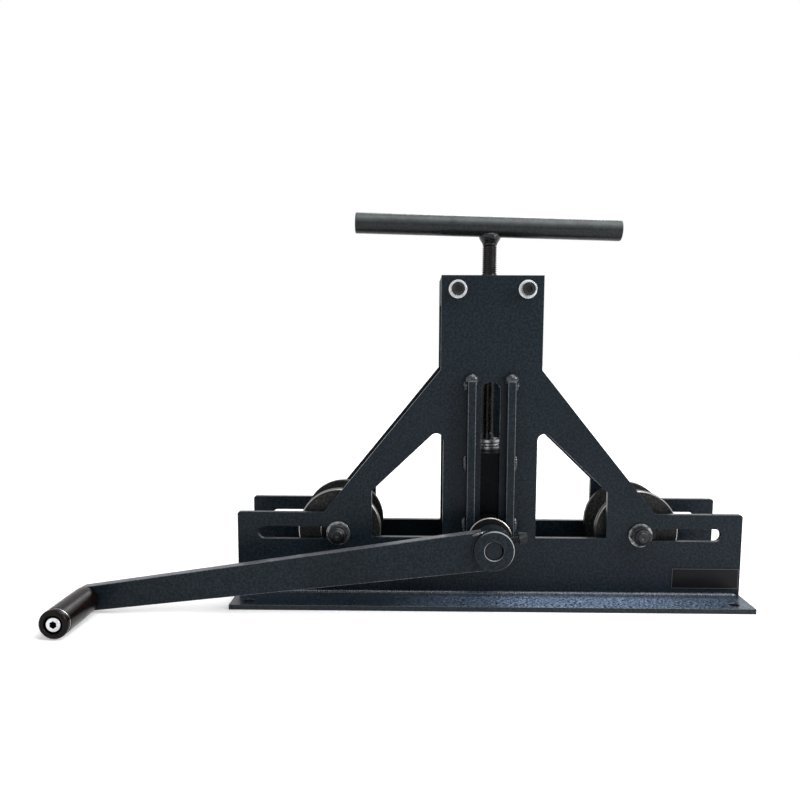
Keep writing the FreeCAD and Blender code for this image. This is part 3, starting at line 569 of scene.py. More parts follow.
class Workshop:
    """Modelling moves shared by all sub-assemblies, made with operators as by hand."""

    @staticmethod
    def clear() -> None:
        """Deselects every object."""
        if bpy.context.object and bpy.context.object.mode != "OBJECT":
            bpy.ops.object.mode_set(mode="OBJECT")
        bpy.ops.object.select_all(action="DESELECT")

    @staticmethod
    def pick(*objects: Item) -> None:
        """Selects only these objects; the last one becomes active."""
        Workshop.clear()
        for item in objects:
            item.select_set(True)
        bpy.context.view_layer.objects.active = objects[-1]

    @staticmethod
    def placed(name: str, data: bpy.types.ID) -> Item:
        """Puts a new object with its data into the scene."""
        item = bpy.data.objects.new(name, data)
        bpy.context.scene.collection.objects.link(item)
        return item

    @staticmethod
    def traced(name: str, points: Sequence[Point], closed: bool) -> Item:
        """Puts a mesh line through points into the scene and picks it."""
        mesh = bpy.data.meshes.new(name)
        count = len(points)
        mesh.from_pydata(points, [(i, (i + 1) % count) for i in range(count if closed else count - 1)],
                         [])
        item = Workshop.placed(name, mesh)
        Workshop.pick(item)
        return item

    @staticmethod
    def named(name: str) -> Item:
        """Names the active object and applies its place to its mesh."""
        item = bpy.context.object
        item.name = item.data.name = name
        bpy.ops.object.transform_apply(location=True, rotation=True, scale=True)
        return item

    @staticmethod
    def choose(item: Item, kind: str, test: Callable[[object], bool]) -> None:
        """Enters edit mode with some parts of the mesh selected.

        Args:
            item: the object.
            kind: VERT, EDGE or FACE.
            test: tells whether one of these is selected.
        """
        Workshop.pick(item)
        bpy.ops.object.mode_set(mode="EDIT")
        bpy.ops.mesh.select_mode(type=kind)
        bpy.ops.mesh.select_all(action="DESELECT")
        mesh = bmesh.from_edit_mesh(item.data)
        for part in {"VERT": mesh.verts, "EDGE": mesh.edges, "FACE": mesh.faces}[kind]:
            if test(part):
                part.select_set(True)
        mesh.select_flush_mode()
        bmesh.update_edit_mesh(item.data)

    @staticmethod
    def apply(item: Item, kind: str, **settings: object) -> None:
        """Adds a modifier with settings and applies it."""
        Workshop.pick(item)
        modifier = item.modifiers.new(kind.lower(), kind)
        for key, value in settings.items():
            setattr(modifier, key, value)
        bpy.ops.object.modifier_apply(modifier=modifier.name)

    @staticmethod
    def smooth(angle: float) -> None:
        """Leaves edit mode and smooths the edges that bend less than an angle in degrees."""
        bpy.ops.object.mode_set(mode="OBJECT")
        bpy.ops.object.shade_smooth_by_angle(angle=math.radians(angle))

    @staticmethod
    def tidy(item: Item, angle: float = 32.0) -> None:
        """Merges doubles, points the faces outwards and smooths shallow edges."""
        Workshop.choose(item, "FACE", lambda face: True)
        bpy.ops.mesh.remove_doubles(threshold=MERGE)
        bpy.ops.mesh.normals_make_consistent(inside=False)
        Workshop.smooth(angle)

    @staticmethod
    def softened(node: Item, width: float) -> Item:
        """A copy of a CAD node's shape with its sharp edges rounded.

        Args:
            node: the CAD object.
            width: width of the rounding.

        Returns:
            The new object, whose rounded edges have the second material slot.
        """
        Workshop.clear()
        item = Workshop.placed(node.name + "_rounded", node.data.copy())
        item.data.materials.clear()
        for _ in range(2):
            item.data.materials.append(None)
        Workshop.pick(item)
        bpy.ops.object.mode_set(mode="EDIT")
        bpy.ops.mesh.select_all(action="SELECT")
        bpy.ops.mesh.remove_doubles(threshold=MERGE)
        bpy.ops.mesh.dissolve_limited(angle_limit=math.radians(1.0))
        bpy.ops.object.mode_set(mode="OBJECT")
        Workshop.apply(item, "BEVEL", width=width, segments=2, limit_method="ANGLE",
                       angle_limit=math.radians(40.0), use_clamp_overlap=True,
                       miter_outer="MITER_ARC", harden_normals=False, material=1)
        Workshop.smooth(34.0)
        Workshop.apply(item, "WEIGHTED_NORMAL", keep_sharp=True, weight=80)
        return item

    @staticmethod
    def spun(name: str, profile: Sequence[tuple[float, float]], start: Point, axis: Point,
             steps: int) -> Item:
        """A solid spun from a closed half profile.

        Args:
            name: name of the object.
            profile: (radius, distance along the axis) points, from the axis or bore outwards.
            start: the point that distances are counted from.
            axis: direction of the axis.
            steps: facets round the solid.

        Returns:
            The object, with its place in its mesh.
        """
        Workshop.clear()
        item = Workshop.traced(name, [(radius, 0.0, along) for radius, along in profile], True)
        bpy.ops.object.mode_set(mode="EDIT")
        bpy.ops.mesh.select_all(action="SELECT")
        bpy.ops.mesh.spin(steps=steps, angle=TURN, center=ORIGIN, axis=UPWARDS)
        bpy.ops.mesh.select_all(action="SELECT")
        bpy.ops.mesh.remove_doubles(threshold=0.000003)
        bpy.ops.mesh.normals_make_consistent(inside=False)
        bpy.ops.object.mode_set(mode="OBJECT")
        item.data.transform(seated(start, axis))
        Workshop.smooth(32.0)
        return item

    @staticmethod
    def thread(name: str, major: float, minor: float, pitch: float, low: float, high: float,
               steps: int = 28) -> Item:
        """A right-hand thread about Z, swept by the screw modifier and trimmed flat at both ends.

        Args:
            name: name of the object.
            major: diameter over the crests.
            minor: diameter at the roots.
            pitch: rise in one turn.
            low: height of the lower end.
            high: height of the upper end.
            steps: facets in one turn.

        Returns:
            The threaded bar.
        """
        Workshop.clear()
        crest, root, foot = major / 2, minor / 2, low - pitch
        flank = ((root, 0.0), (root, 0.16), (crest, 0.46), (crest, 0.70), (root, 1.0))
        item = Workshop.traced(name, [(r, 0, foot + part * pitch) for r, part in flank], False)
        Workshop.apply(item, "SCREW", axis="Z", angle=TURN, screw_offset=pitch,
                       iterations=math.ceil((high - low) / pitch) + 2, steps=steps,
                       render_steps=steps, use_merge_vertices=True, merge_threshold=0.00001,
                       use_normal_calculate=True)
        Workshop.pick(item)
        bpy.ops.object.mode_set(mode="EDIT")
        for z, above in ((low, False), (high, True)):
            bpy.ops.mesh.select_all(action="SELECT")
            bpy.ops.mesh.bisect(plane_co=(0, 0, z), plane_no=UPWARDS, use_fill=True,
                                clear_inner=not above, clear_outer=above)
        bpy.ops.object.mode_set(mode="OBJECT")
        Workshop.tidy(item, 30.0)
        return item

    @staticmethod
    def joined(name: str, parts: Sequence[Item]) -> Item:
        """Joins parts into one object with a new name."""
        Workshop.pick(*parts)
        if len(parts) > 1:
            bpy.ops.object.join()
        item = bpy.context.object
        item.name = item.data.name = name
        return item

    @staticmethod
    def melted(name: str, parts: Sequence[Item], voxel: float = 0.0005, strength: float = 0.0006,
               rounds: int = 2) -> Item:
        """Fuses parts into one flowing weld with an uneven, frozen surface.

        Args:
            name: name of the weld.
            parts: overlapping closed forms.
            voxel: size of the remeshing grid.
            strength: height of the unevenness.
            rounds: passes of smoothing.

        Returns:
            The weld.
        """
        item = Workshop.joined(name, parts)
        Workshop.apply(item, "REMESH", mode="VOXEL", voxel_size=voxel)
        Workshop.apply(item, "SMOOTH", factor=0.5, iterations=rounds)
        texture = bpy.data.textures.new(name + "_melt", "CLOUDS")
        texture.noise_scale = 0.004
        Workshop.apply(item, "DISPLACE", texture=texture, texture_coords="LOCAL",
                       strength=strength, mid_level=0.5)
        Workshop.tidy(item, 60.0)
        return item

    @staticmethod
    def ball(name: str, centre: Point, radii: Point, segments: int = 24, rings: int = 14) -> Item:
        """A ball, or a rounded lump as at the start or end of a weld."""
        Workshop.clear()
        bpy.ops.mesh.primitive_uv_sphere_add(segments=segments, ring_count=rings, radius=1.0,
                                             location=centre)
        bpy.context.object.scale = radii
        return Workshop.named(name)

    @staticmethod
    def copies(item: Item, name: str, places: Sequence[Matrix]) -> Item:
        """Copies of a shape at several places, joined into one object.

        Args:
            item: the shape, at the origin.
            name: name of the group.
            places: one matrix for each copy.

        Returns:
            The group; the first shape is used up.
        """
        group = []
        for place in places:
            group.append(Workshop.placed(name, item.data.copy()))
            group[-1].data.transform(place)
        bpy.data.objects.remove(item)
        return Workshop.joined(name, group)

    @staticmethod
    def bead(name: str, points: Sequence[Point], radius: float, pitch: float, depth: float = 0.16
             ) -> Item:
        """A weld bead with crescent ripples along a path.

        Args:
            name: name of the object.
            points: the path's corners.
            radius: radius of the bead.
            pitch: distance from ripple to ripple.
            depth: how far the bead narrows between ripples, as a share of its radius.

        Returns:
            The bead as a mesh.
        """
        Workshop.clear()
        step = pitch / 3
        path = [Vector(p) for p in points]
        spots: list[tuple[Vector, float]] = []
        along = 0.0
        for a, b in zip(path, path[1:]):
            run = (b - a).length
            count = max(2, round(run / step))
            for i in range(count):
                phase = ((along + run * i / count) / pitch) % 1.0
                spots.append((a.lerp(b, i / count), 1.0 - depth * phase))
            along += run
        spots.append((path[-1], 0.8))
        curve = bpy.data.curves.new(name, "CURVE")
        curve.dimensions = "3D"
        curve.bevel_depth = radius
        curve.bevel_resolution = 3
        curve.use_fill_caps = True
        spline = curve.splines.new("POLY")
        spline.points.add(len(spots) - 1)
        for i, (spot, size) in enumerate(spots):
            spline.points[i].co = (*spot, 1.0)
            ends = min(i, len(spots) - 1 - i) / max(1.0, radius / step)
            spline.points[i].radius = size * min(1.0, 0.55 + 0.45 * ends)
        Workshop.pick(Workshop.placed(name, curve))
        bpy.ops.object.convert(target="MESH")
        item = bpy.context.object
        Workshop.tidy(item, 60.0)
        return item


def seated(seat: Point, outwards: Point) -> Matrix:
    """Places a shape that is modelled along Z.

    Args:
        seat: where its origin lies.
        outwards: where its Z axis points.

    Returns:
        The matrix for its mesh.
    """
    turn = Vector(outwards).to_track_quat("Z", "Y").to_matrix().to_4x4()
    return Matrix.Translation(seat) @ turn


def around(count: int) -> list[tuple[float, float]]:
    """The cosines and sines of evenly spaced turns."""
    return [(math.cos(TURN * i / count), math.sin(TURN * i / count)) for i in range(count)]


def swung(reach: float, y: float, rise: float = 0.0) -> Point:
    """A point fixed to the crank: its distance from the shaft away from the arm, and its rise."""
    c, s = math.cos(CRANK_REST), math.sin(CRANK_REST)
    return (reach * c - rise * s, y, SHAFT[2] + reach * s + rise * c)


@dataclass(frozen=True)
class CapScrew:
    """A socket cap screw: knurled head with a rounded rim, hexagon socket and threaded shank."""

    length: float
    shank: float = 8.0 * MM
    head: float = 13.0 * MM
    head_height: float = 8.0 * MM
    socket: float = 6.0 * MM
    pitch: float = 1.25 * MM
    knurls: int = 44
    groove: float = 0.035

    @staticmethod
    def prism(name: str, sides: int, radius: float, depth: float, middle: float) -> Item:
        """A straight prism along Z, with its middle at a height."""
        Workshop.clear()
        bpy.ops.mesh.primitive_cylinder_add(vertices=sides, radius=radius, depth=depth,
                                            location=(0, 0, middle))
        return Workshop.named(name)

    def shape(self, name: str) -> Item:
        """Builds the screw along Z, with the underside of its head at nought and its head upwards.

        Args:
            name: name of the object.

        Returns:
            The screw, whose socket has the second material slot.
        """
        tall, key_radius = self.head_height, self.socket / math.sqrt(3)
        head = self.prism(name, 2 * self.knurls, self.head / 2, tall, tall / 2)
        Workshop.choose(head, "FACE", lambda face: face.normal.z > 0.9)
        bpy.ops.mesh.bevel(offset=tall * 0.09, segments=3, profile=0.5)
        Workshop.choose(head, "VERT", self.in_groove)
        shrink = 1.0 - self.groove
        bpy.ops.transform.resize(value=(shrink, shrink, 1.0), center_override=ORIGIN)
        bpy.ops.object.mode_set(mode="OBJECT")
        key = self.prism(name + "_key", 6, key_radius, tall * 1.1, tall)
        Workshop.apply(head, "BOOLEAN", operation="DIFFERENCE", object=key, solver="EXACT")
        bpy.data.objects.remove(key)
        bar = Workshop.thread(name + "_shank", self.shank, self.shank * 0.86, self.pitch,
                              -self.length, 0.0002, steps=20)
        screw = Workshop.joined(name, [head, bar])
        Workshop.smooth(28.0)
        # Faces inside the socket take the second slot, which holds the painted shade.
        for face in screw.data.polygons:
            x, y, z = face.center
            inside = math.hypot(x, y) < key_radius * 1.01
            face.material_index = int(inside and 1e-5 < z < tall * 0.98)
        return screw

    def in_groove(self, vertex: bmesh.types.BMVert) -> bool:
        """Tells whether a point lies on one of every other edge of the head's side."""
        wide = math.hypot(vertex.co.x, vertex.co.y) > self.head / 2 * 0.999
        turn = round(math.atan2(vertex.co.y, vertex.co.x) / (math.pi / self.knurls))
        return wide and turn % 2 == 0


class Dresser:
    """Hands each piece its body and finish, hides the CAD nodes it stands for, and reports it."""

    def __init__(self, nodes: dict[str, Item]) -> None:
        """Keeps the CAD nodes and an empty shelf of finishes.

        Args:
            nodes: the CAD nodes by name.
        """
        self.nodes = nodes
        self.shelf: dict[str, bpy.types.Material] = {}

    def finish(self, kind: object) -> bpy.types.Material:
        """The material of a finish, built once and kept by its name."""
        if kind.name not in self.shelf:
            self.shelf[kind.name] = kind.material()
        return self.shelf[kind.name]

    def paint(self, item: Item, kind: object, edges: object | None = None) -> None:
        """Gives an object its finish, and another one to its marked faces where one is named."""
        marked = [face.material_index for face in item.data.polygons]
        item.data.materials.clear()
        item.data.materials.append(self.finish(kind))
        if edges and any(marked):
            item.data.materials.append(self.finish(edges))
        else:
            marked = [0] * len(marked)
        item.data.polygons.foreach_set("material_index", marked)

    def dress_nodes(self, kind: object, *names: str) -> None:
        """Gives CAD nodes that stay in view a finish."""
        for name in names:
            self.paint(self.nodes[name], kind)
            LOG.info("node %s finished in %s", name, kind.name)

    def seat(self, item: Item, body: Body, kind: object, *stands_for: str,
             edges: object | None = None) -> None:
        """Finishes one new piece.

        Args:
            item: the piece.
            body: the body it moves with.
            kind: its finish.
            stands_for: CAD nodes that it replaces.
            edges: the finish of its marked faces, where it is another one.
        """
        self.paint(item, kind, edges)
        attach(item, body.value)
        if stands_for:
            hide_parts(*stands_for)
        LOG.info("piece %s on %s, %d faces", item.name, body.value, len(item.data.polygons))

    def soften(self, body: Body, kind: object, width: float, *names: str,
               edges: object | None = None) -> None:
        """Replaces CAD nodes by copies with rounded edges of a width."""
        for name in names:
            self.seat(Workshop.softened(self.nodes[name], width), body, kind, name, edges=edges)


@dataclass
class WeldedFrame:
    """Base, side plates, rails and nut block, with their welds and the bare label plate."""

    dresser: Dresser
    plate_face: float = 42.0 * MM
    plate_inside: float = 36.0 * MM
    half_length: float = 254.0 * MM
    base_top: float = 5.0 * MM
    washer: float = 1.6 * MM
    block_screw_x: float = 34.0 * MM
    block_screw_z: float = 310.5 * MM
    block_screw: CapScrew = CapScrew(25.8 * MM)
    rail_centre: float = 19.5 * MM
    rail_outer: float = 23.5 * MM
    rail_top: float = 221.4 * MM
    rail_ripple: float = 0.0027
    edge: float = 0.7 * MM
    foot_bead: float = 3.1 * MM
    foot_ripple: float = 0.0026
    label_low: tuple[float, float] = (185.0 * MM, 11.7 * MM)
    label_high: tuple[float, float] = (253.0 * MM, 33.2 * MM)
    label_thickness: float = 0.4 * MM
    label_corner: float = 1.2 * MM

    def build(self) -> None:
        """Builds every piece of the frame."""
        soften = self.dresser.soften
        # The plates and rails get painted highlights on their rounded edges.
        soften(Body.FRAME, PowderCoat(), self.edge, "front_side_plate", "rear_side_plate",
               "front_guide_rails", "rear_guide_rails", edges=EDGE_HIGHLIGHT_PAINT)
        # The base's top carries painted glints, and its rounded edges carry painted edge highlights.
        soften(Body.FRAME, BaseCoat(), self.edge, "base_plate", edges=EDGE_HIGHLIGHT_PAINT)
        block = PowderCoat(name="charcoal_coat_on_block", shine=0.04, gloss=0.45, matt=0.60)
        soften(Body.FRAME, block, self.edge, "nut_block")
        self.foot_welds()
        for sign, face in ((-1, "front"), (1, "rear")):
            for side, hand in ((-1, "left"), (1, "right")):
                self.rail_weld(sign, side, f"{face}_{hand}")
        self.label_plate()
        self.dresser.dress_nodes(BlackOxide(), "thread_bush")
        soften(Body.FRAME, ZincPlate(), 0.35 * MM, "block_washers")
        self.block_screws()

    def block_screws(self) -> None:
        """The four cap screws of the nut block."""
        y = self.plate_face + self.washer
        places = [seated((side * self.block_screw_x, sign * y, self.block_screw_z), (0, sign, 0))
                  for sign in (-1, 1) for side in (-1, 1)]
        screws = Workshop.copies(self.block_screw.shape("block_screw"), "knurled_block_screws", places)
        self.dresser.seat(screws, Body.FRAME, HEAD_OXIDE, "block_screws", edges=SOCKET_SHADE)

    def foot_welds(self) -> None:
        """The rippled beads along the foot of each plate, inside and outside."""
        beads = []
        for sign in (-1, 1):
            for name, y in (("outer", self.plate_face), ("inner", self.plate_inside)):
                ends = [(s * (self.half_length - self.foot_bead), sign * y, self.base_top)
                        for s in (-1, 1)]
                beads.append(Workshop.bead(f"foot_bead_{name}_{sign}", ends, self.foot_bead,
                                           self.foot_ripple))
        # Lighter coat with pale flecks: painted highlights along the foot welds.
        foot = PowderCoat(name="charcoal_coat_on_foot_weld", gloss=0.14, matt=0.30, shine=0.5,
                          middle=(0.030, 0.040, 0.054), pale=(0.075, 0.088, 0.110),
                          dust_and_glint=(0.30, 0.34, 0.38), dust_and_glint_share=0.8, peel_depth=0.00025)
        self.dresser.seat(Workshop.joined("foot_weld_beads", beads), Body.FRAME, foot,
                          "base_fillet_welds")

    def rail_weld(self, sign: int, side: int, name: str) -> None:
        """The cap over one rail's top and the two stitches on its outer side.

        Args:
            sign: -1 on the front plate and 1 on the rear one.
            side: -1 for the left rail and 1 for the right one.
            name: words that tell the rail.
        """
        middle, outer, top = self.rail_centre, self.rail_outer, self.rail_top

        def at(x: float, over: float, z: float, higher: float, proud: float) -> Point:
            return (side * (x + over * MM), sign * (self.plate_face + proud * MM), z + higher * MM)
        cap = [at(middle, -4.8, top, -1.0, 0.6), at(middle, -3.6, top, 2.2, 1.6),
               at(middle, 0.0, top, 4.0, 2.4), at(middle, 3.8, top, 1.8, 1.6),
               at(outer, 1.3, top, -3.0, 1.0), at(outer, 1.2, top, -10.0, 0.6)]
        low = [at(outer, 1.4, 0.0, 70.0, 0.8), at(outer, 1.8, 0.0, 84.0, 0.8)]
        stitch = [at(outer, 1.0, 0.0, 131.0, 0.8), at(outer, 1.3, 0.0, 147.0, 0.8)]
        parts = [Workshop.bead(f"rail_{run}_{name}", path, radius * MM, self.rail_ripple, depth=0.2)
                 for run, path, radius in (("cap", cap, 3.9), ("low", low, 4.0),
                                           ("middle", stitch, 3.4))]
        parts.append(Workshop.ball(f"rail_crown_{name}", at(middle, 0.0, top, 1.4, 5.6),
                                   (7.2 * MM, 6.1 * MM, 6.4 * MM)))
        weld = Workshop.melted(f"rail_weld_{name}", parts, voxel=0.00055, rounds=1)
        self.dresser.seat(weld, Body.FRAME, WELD_PAINT)

    def label_plate(self) -> None:
        """The bare label plate on the front face, with softened corners."""
        (x0, z0), (x1, z1) = self.label_low, self.label_high
        x, z = (x0 + x1) / 2, (z0 + z1) / 2
        Workshop.clear()
        bpy.ops.mesh.primitive_cube_add(
            size=1.0, location=(x, -self.plate_face - self.label_thickness / 2, z))
        bpy.context.object.scale = (x1 - x0, self.label_thickness, z1 - z0)
        plate = Workshop.named("blank_label_plate")

        def across(line: bmesh.types.BMEdge) -> bool:
            a, b = (vertex.co for vertex in line.verts)
            return abs(a.x - b.x) < 1e-6 and abs(a.z - b.z) < 1e-6
        Workshop.choose(plate, "EDGE", across)
        bpy.ops.mesh.bevel(offset=self.label_corner, segments=5)
        bpy.ops.object.mode_set(mode="OBJECT")
        Workshop.apply(plate, "BEVEL", width=0.00012, segments=2, limit_method="ANGLE")
        Workshop.tidy(plate)
        paint = BlankPlatePaint(centre=(x, 0.0, z), half=((x1 - x0) / 2, (z1 - z0) / 2))
        self.dresser.seat(plate, Body.FRAME, paint)


@dataclass
class PressYoke:
    """The yoke with its bearings, blocks and thrust bearing."""

    dresser: Dresser
    edge: float = 0.6 * MM
    cage_middle: float = 153.5 * MM
    ball_ring: float = 10.0 * MM
    ball: float = 3.9 * MM
    ball_count: int = 14
    bearing_y: float = 29.5 * MM
    bearing_ring: float = 15.5 * MM
    bearing_ball: float = 4.9 * MM
    bearing_count: int = 8
    cheek_screw_x: float = 19.0 * MM
    cheek_screw_z: float = 142.0 * MM
    cheek_screw: CapScrew = CapScrew(24.0 * MM, 6.0 * MM, 10.0 * MM, 6.0 * MM, 5.0 * MM, 1.0 * MM)

    def build(self) -> None:
        """Builds every piece of the yoke."""
        soften = self.dresser.soften
        # Darker coat on the yoke: painted shade of the recessed slot.
        paint = PowderCoat(name="charcoal_coat_with_painted_shade_on_yoke", deep=(0.0014, 0.0022, 0.0032),
                           middle=(0.0026, 0.0038, 0.0050), pale=(0.0042, 0.0048, 0.0076),
                           dust_and_glint=(0.02, 0.02, 0.02), shine=0.04)
        soften(Body.YOKE, paint, self.edge, "yoke_bridge", "front_yoke_cheek", "rear_yoke_cheek")
        places = [seated((x, y, self.cheek_screw_z), UPWARDS)
                  for x in (-self.cheek_screw_x, self.cheek_screw_x)
                  for y in (-self.bearing_y, self.bearing_y)]
        screws = Workshop.copies(self.cheek_screw.shape("cheek_screw"), "knurled_yoke_screws", places)
        self.dresser.seat(screws, Body.YOKE, HEAD_OXIDE, "yoke_screws", edges=SOCKET_SHADE)
        # Outer bearing rings darkened to near black: painted shade in the slot.
        slot_shaded_steel = TurnedSteel(name="bearing_steel_darkened_as_shade", centre=SHAFT,
                              bright=(0.030, 0.030, 0.030), dull=(0.010, 0.010, 0.010))
        self.dresser.dress_nodes(slot_shaded_steel, "shaft_bearing_outer_rings")
        soften(Body.YOKE, BEARING_STEEL, 0.5 * MM, "thrust_lower_race")
        soften(Body.YOKE, BlackOxide(name="guide_block_steel", slot=Slot.STEEL), self.edge,
               "front_guide_block", "rear_guide_block")
        self.thrust_balls()
        self.shaft_balls()

    def shaft_balls(self) -> None:
        """The balls of both shaft bearings, evenly spaced round the shaft."""
        ball = Workshop.ball("shaft_ball", ORIGIN, (self.bearing_ball / 2,) * 3, 18, 12)
        ring = self.bearing_ring
        places = [Matrix.Translation((ring * c, y, SHAFT[2] + ring * s))
                  for y in (-self.bearing_y, self.bearing_y) for c, s in around(self.bearing_count)]
        balls = Workshop.copies(ball, "round_bearing_balls", places)
        bpy.ops.object.shade_smooth()
        self.dresser.seat(balls, Body.YOKE, BEARING_STEEL, "shaft_bearing_balls")

    def thrust_balls(self) -> None:
        """The ring of balls in its pressed cage between the two thrust races."""
        ball = Workshop.ball("thrust_ball", ORIGIN, (self.ball / 2,) * 3, 20, 12)
        ring, middle = self.ball_ring, self.cage_middle
        balls = Workshop.copies(ball, "thrust_balls", [
            Matrix.Translation((ring * c, ring * s, middle)) for c, s in around(self.ball_count)])
        outline = ((7.6, -0.5), (12.4, -0.5), (12.4, -1.0), (12.7, -1.0), (12.7, 1.0), (12.4, 1.0),
                   (12.4, 0.5), (7.6, 0.5))
        cage = Workshop.spun("thrust_cage", [(r * MM, z * MM) for r, z in outline],
                             (0, 0, middle), UPWARDS, 72)
        group = Workshop.joined("thrust_balls_in_cage", [balls, cage])
        Workshop.smooth(40.0)
        self.dresser.seat(group, Body.YOKE, BEARING_STEEL, "thrust_ball_cage")


@dataclass
class PressScrew:
    """The threaded screw, its tee bar and the weld between them."""

    dresser: Dresser
    major: float = 14.9 * MM
    minor: float = 13.0 * MM
    pitch: float = 2.0 * MM
    shoulder: float = 159.0 * MM
    thread_low: float = 166.0 * MM
    thread_high: float = 356.0 * MM
    bar_centre: float = 375.8 * MM
    bar_radius: float = 10.5 * MM
    tilt: float = math.radians(-1.5)
    spigot: float = 12.0 * MM
    tail: float = 116.8 * MM
    deep: Colour = (0.0045, 0.0062, 0.0064)
    middle: Colour = (0.0080, 0.0105, 0.0108)

    def build(self) -> None:
        """Builds every piece of the screw."""
        self.screw()
        # The tee bar's coat paints a highlight along its upper side.
        bar = TopLitCoat(name="charcoal_coat_on_tee_bar", shine=0.22, deep=self.deep,
                         middle=self.middle, pale=(0.0130, 0.0150, 0.0170),
                         middle_line=(0.0, 0.0, self.bar_centre), slope=self.tilt,
                         low=-1.0 * MM, high=5.0 * MM, top_highlight=(0.070, 0.080, 0.082))
        self.dresser.soften(Body.SCREW, bar, 0.5 * MM, "tee_bar")
        self.bar_weld()
        self.dresser.dress_nodes(BlackOxide(), "screw_lock_collar", "lock_collar_screw")
        self.dresser.soften(Body.SCREW, BEARING_STEEL, 0.5 * MM, "thrust_upper_race")

    def screw(self) -> None:
        """The whole screw: thread, plain neck over the shoulder, upper shank and spigot."""
        crest, root, spigot = self.major / 2, self.minor / 2, self.spigot / 2
        end = self.bar_centre - 2 * MM
        neck = Workshop.spun("press_neck", [
            (0, self.tail), (spigot - 1.0 * MM, self.tail), (spigot, self.tail + 1.0 * MM),
            (spigot, self.shoulder), (crest, self.shoulder), (crest, self.thread_low - 1.6 * MM),
            (root, self.thread_low), (0, self.thread_low)], ORIGIN, UPWARDS, 56)
        shank = Workshop.spun("press_shank", [
            (0, self.thread_high), (root, self.thread_high), (crest, self.thread_high + 1.4 * MM),
            (crest, end), (0, end)], ORIGIN, UPWARDS, 56)
        thread = Workshop.thread("press_thread", self.major, self.minor, self.pitch,
                                 self.thread_low, self.thread_high)
        whole = Workshop.joined("threaded_press_screw", [neck, shank, thread])
        black = BlackOxide(name="screw_black_oxide", pale=(0.014, 0.013, 0.011), shine=0.34)
        self.dresser.seat(whole, Body.SCREW, black, "press_screw")

    def bar_weld(self) -> None:
        """The hollow-flanked weld that flares from the screw to the underside of the tee bar."""
        under = self.bar_centre - self.bar_radius
        flank = [(0, -7.2), (7.3, -7.2), (7.9, -6.0), (8.9, -4.4), (10.0, -2.6), (11.0, -0.8),
                 (11.4, 1.2), (10.2, 3.6), (0, 3.6)]
        cone = Workshop.spun("tee_weld_cone", [(r * MM, under + z * MM) for r, z in flank],
                             ORIGIN, UPWARDS, 48)
        drop = Workshop.ball("tee_weld_drop", (2.0 * MM, -10.0 * MM, under - 0.6 * MM),
                             (3.4 * MM, 1.4 * MM, 2.6 * MM))
        weld = Workshop.melted("tee_bar_weld", [cone, drop], rounds=4, strength=0.0005)
        coat = PowderCoat(name="charcoal_coat_on_tee_weld", shine=0.25, gloss=0.18, matt=0.30,
                          deep=self.deep, middle=self.middle)
        self.dresser.seat(weld, Body.SCREW, coat)


